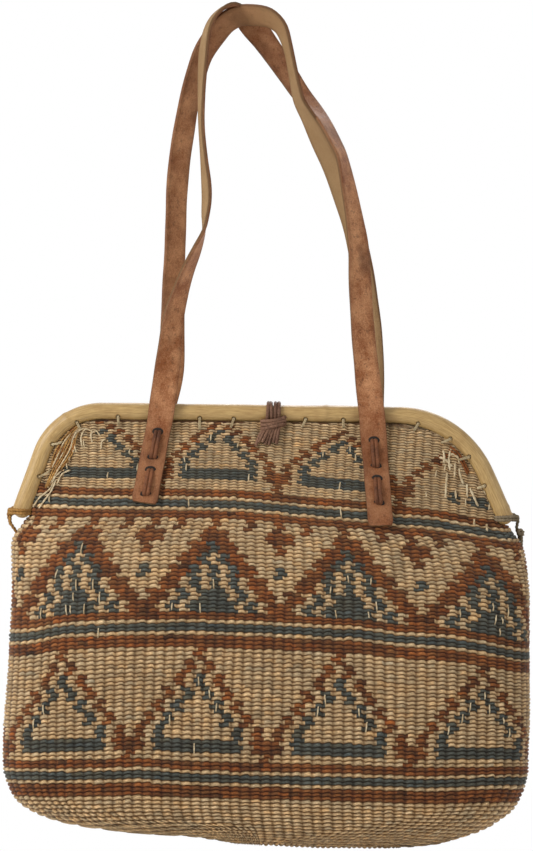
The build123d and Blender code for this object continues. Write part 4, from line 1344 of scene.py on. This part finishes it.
def make_closure():
    rng = np.random.default_rng(31)
    ring = CANE_RADIUS + CLOSURE_RADIUS * 0.9
    turns, tails, wraps = [], [], []
    for k in range(4):
        x = CLOSURE_X + (k - 1.5) * CLOSURE_PITCH
        sway = rng.uniform(-0.0006, 0.0006)
        turns.append(smooth_line([
            (x + sway * math.sin(a), -HOOP_Y - ring * math.cos(a), BAR_HEIGHT + ring * math.sin(a))
            for a in np.linspace(-0.9, math.tau - 0.95, 16)
        ], closed=True, steps=3))
    wrap_z = BAR_HEIGHT - CANE_RADIUS - 0.0002
    wrap_y = -HOOP_Y - CANE_RADIUS - 0.0012
    for k in range(3):
        z = wrap_z + (k - 1) * 0.0023
        wraps.append(smooth_line([
            (CLOSURE_X + WRAP_HALF_WIDTH * math.cos(a), wrap_y - 0.0021 * math.sin(a) - 0.0006,
             z + 0.0005 * math.sin(2 * a + k) + 0.0016 * math.cos(a))
            for a in np.linspace(0, math.tau, 15)[:-1]
        ], closed=True, steps=3))
    for k in range(7):
        x = CLOSURE_X - 0.001 + (k - 3) * 0.0018
        end_x = CLOSURE_X - 0.0052 + (k - 3) * 0.0025 + rng.uniform(-0.0006, 0.0006)
        end_z = wrap_z - 0.0152 + rng.uniform(-0.0014, 0.0014)
        out = rng.uniform(0.0, 0.0016)
        end_y = -cloth_depth(end_x, end_z) - 0.0021 - out
        middle_y = min((wrap_y + end_y) / 2 - 0.0006, -cloth_depth(x, wrap_z - 0.008) - 0.0020)
        tails.append(smooth_line([
            (x, wrap_y - 0.0004, wrap_z + 0.002), (x, wrap_y - 0.0008, wrap_z - 0.003),
            ((x + end_x) / 2, middle_y - out, wrap_z - 0.0085), (end_x, end_y, end_z),
        ]))
    for part, lines, closed, size in (("turns", turns + wraps, True, 1.0), ("ends", tails, False, 0.85)):
        piece = cord_piece(f"closure_{part}", lines, closure_leather, CLOSURE_RADIUS * size, closed=closed,
                           ply_depth=0.08, plies=4, turns=10, sides=10, step=0.0008)
        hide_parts("closure_thong")
        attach(piece, "front_frame")


closure_leather = leather_material("closure_leather", "#8F6A53", "#4E3122", "#2C170D", "#8A6648")
make_closure()

# Mends and worn places
# Pale yarn that later hands have put in: short upright stitches over the blue cells, darning at the front's
# right corner beside two rust cords, and at its left corner a worn, folded hem with loose yarn beside it.
mend_yarn = twine_material("mend_yarn", "#E4D3B0", "#A88C64")
hem_fibre = twine_material("hem_fibre", "#C89A58", "#6B4420")
rust_yarn = twine_material("rust_yarn", "#A0602F", "#552A12")


def cloth_cord(name, lines, material, radius, plies=2):
    piece = cord_piece(name, lines, material, radius, plies=plies, turns=110, sides=9, step=0.0008)
    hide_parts("woven_body")
    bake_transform(piece)


def mend_stitches():
    rng = np.random.default_rng(77)
    ribs, courses = np.meshgrid(np.arange(-28, 29), np.arange(-6, 92))
    dye = weave_colours(ribs, courses)
    lines = []
    for row in range(0, len(courses) - 2, 3):
        for column in range(ribs.shape[1]):
            course, rib = int(courses[row, column]), int(ribs[row, column])
            chance = 0.36 if course < 12 else 0.08 if course < 26 else 0.26 if course < 50 else 0.05
            chance = 0.6 if 62 <= course < 78 else chance
            if dye[row, column] != 2 or rng.random() > chance:
                continue
            first = (course - FIRST_COURSE) * ROWS_PER_COURSE - 1
            last = first + ROWS_PER_COURSE * int(rng.choice([2, 3])) + 1
            place = (rib + QUARTER_RIBS) * COLUMNS_PER_RIB + int(rng.integers(-1, 2))
            rows = np.linspace(first, last, 5).astype(int)
            points = front_face[rows, place].copy()
            points[:, 1] -= np.array([-0.0010, 0.0006, 0.0009, 0.0006, -0.0010])
            points[:, 0] += np.linspace(-1, 1, 5) * rng.uniform(-0.0006, 0.0006)
            lines.append(smooth_line(points, steps=4))
    return lines


def on_cloth(points, out):
    """A rounded line over the cloth's front through points given across and up."""
    line = smooth_line([(x, 0, z) for x, z in points], steps=6)
    flat = front_face.reshape(-1, 3)
    placed = []
    for k, point in enumerate(line):
        nearest = flat[np.argmin((flat[:, 0] - point[0]) ** 2 + (flat[:, 2] - point[2]) ** 2)]
        sunk = 0.0016 if k in (0, len(line) - 1) else 0
        placed.append((point[0], nearest[1] - out + sunk, point[2]))
    for _ in range(2):
        depth = np.array([p[1] for p in placed])
        depth[1:-1] = np.minimum((depth[:-2] + depth[1:-1] + depth[2:]) / 3, depth[1:-1] + 0.0003)
        placed = [(p[0], d, p[2]) for p, d in zip(placed, depth)]
    return placed


def photo_line(points):
    return [tuple(np.round(photo_point(*point), 4).tolist()) for point in points]


# Lines of yarn on the cloth, picked on the photograph, in its pixels
darning = [photo_line(points) for points in (
    [(443.5, 451), (444.2, 456), (444, 462.5)], [(447, 473), (446.2, 484), (445.5, 496.5)],
    [(455.4, 462.5), (455, 470), (454.4, 477)], [(455.4, 490.5), (455.7, 494), (455.8, 497.5)],
    [(466.8, 484), (467.2, 490), (467, 497.5)], [(474, 519), (474.1, 521.5), (474, 524)],
    [(486.6, 524), (486.8, 527), (486.9, 530)], [(448.5, 455.5), (453, 454), (457.5, 457), (460, 463)],
    [(451, 449), (449, 459), (450, 470)], [(459, 468), (460.5, 476), (463, 483)],
    [(470, 488), (474, 497), (478, 506)], [(440, 457), (446, 460), (452, 466)],
)]
loose_yarn = [photo_line(points) for points in (
    [(77, 452), (75, 441), (80, 430.5), (88, 428)], [(83, 446), (82, 437), (86.5, 429), (94, 432)],
    [(93, 442), (92, 434), (97, 431), (101, 436)], [(62, 471), (55, 478), (51.5, 488), (40, 498), (34, 507)],
    [(57, 479.5), (52, 491), (44, 502), (40, 508)], [(71, 470), (63, 474), (58, 484)],
    [(102, 449), (103, 441), (107, 439)],
)]
hem_outer = photo_line([(44.5, 487), (50.5, 468), (55.5, 452.5), (62, 440), (70.5, 430.5), (79, 424.5)])
hem_inner = photo_line([(50, 487.5), (61, 470), (70, 460), (74.5, 450), (77, 438), (81, 429)])
corner_rust = [photo_line(points) for points in (
    [(450, 446.5), (458, 452.5), (464, 461.5), (469, 472)],
    [(449, 449.5), (456.5, 455), (462.5, 464), (467.5, 474)],
)]
cloth_cord("front_mends", mend_stitches(), mend_yarn, 0.00058)
cloth_cord("corner_darning", [on_cloth(line, 0.0008) for line in darning], mend_yarn, 0.00095)
cloth_cord("loose_yarn", [on_cloth(line, 0.0010) for line in loose_yarn], mend_yarn, 0.00070)
hem_rng = np.random.default_rng(9)
hem_strands = {"golden": [], "pale": [], "dark": []}
HEM_FIBRES = 15
for k in range(HEM_FIBRES):
    share = (k + 0.5) / HEM_FIBRES
    mixed = (1 - share) * np.array(hem_outer) + share * np.array(hem_inner)
    mixed[1:-1, 0] += hem_rng.uniform(-0.0006, 0.0006, len(mixed) - 2)
    start, stop = hem_rng.integers(0, 2), len(mixed) - hem_rng.integers(0, 2)
    out = 0.0007 + 0.0010 * math.sin(math.pi * share) + hem_rng.uniform(-0.0003, 0.0005)
    kind = ("golden", "dark", "golden", "pale")[k % 4]
    hem_strands[kind].append(on_cloth(mixed[start:stop].tolist(), out))
for kind, material in (("golden", hem_fibre), ("pale", mend_yarn), ("dark", rust_yarn)):
    cloth_cord(f"worn_hem_{kind}", hem_strands[kind], material, 0.00062, plies=3)
cloth_cord("corner_rust", [on_cloth(line, 0.0010) for line in corner_rust], rust_yarn, 0.0009, plies=3)

# Floor, light and camera
# A plain white floor and backdrop under soft studio light, seen from the front at the bag's mid-height.
CAMERA_DISTANCE = 6.0
CAMERA_HEIGHT = 0.3045
CAMERA_LENS = 352.5
CAMERA_ROLL = math.radians(-0.8)


def floor_material():
    """White under the light, and plain white where the camera sees it."""
    material, tree, shader = new_material("floor_white", (0.92, 0.92, 0.92), 0.9)
    seen = node(tree, "ShaderNodeLightPath").outputs["Is Camera Ray"]
    glow = node(tree, "ShaderNodeEmission", Strength=1.0).outputs[0]
    mixed = node(tree, "ShaderNodeMixShader")
    for number, value in enumerate((seen, shader.outputs[0], glow)):
        give(mixed.inputs[number], value)
    give(tree.nodes["Material Output"].inputs["Surface"], mixed.outputs[0])
    return material


floor_mesh = new_mesh("floor", [(-6, -6, 0), (6, -6, 0), (6, 6, 0), (-6, 6, 0)], [(0, 1, 2, 3)])
floor = link("floor", floor_mesh, floor_material())

WORLD_LIGHT = 0.42
world = bpy.data.worlds.new("studio")
bpy.context.scene.world = world
world.use_nodes = True
sky = world.node_tree.nodes["Background"].inputs
rays = node(world.node_tree, "ShaderNodeLightPath").outputs
seen = calc("MAXIMUM", rays["Is Camera Ray"], rays["Is Glossy Ray"])
seen = calc("MAXIMUM", seen, rays["Is Transmission Ray"])
give(sky["Color"], (1, 1, 1))
give(sky["Strength"], plus(times(seen, 1 - WORLD_LIGHT), WORLD_LIGHT))


def area_light(name, place, size, power, target=(0, 0, 0.28)):
    lamp = bpy.data.lights.new(name, "AREA")
    lamp.shape = "DISK"
    lamp.size = size
    lamp.energy = power
    holder = new_object(name, lamp)
    holder.location = place
    holder.rotation_euler = (Vector(target) - Vector(place)).to_track_quat("-Z", "Y").to_euler()


area_light("key_light", (-1.20, -0.80, 1.05), 0.7, 18)
area_light("fill_light", (1.5, -1.3, 0.7), 1.2, 5)
area_light("back_light", (0.3, 1.6, 1.5), 1.0, 14)

camera = bpy.data.cameras.new("camera")
camera.lens = CAMERA_LENS
camera.sensor_width = 36
camera.clip_start = 0.05
viewer = new_object("camera", camera)
viewer.location = (0, -CAMERA_DISTANCE, CAMERA_HEIGHT)
viewer.rotation_mode = "XYZ"
viewer.rotation_euler = (math.pi / 2, CAMERA_ROLL, 0)
bpy.context.scene.camera = viewer
bpy.context.scene.view_settings.view_transform = "Standard"
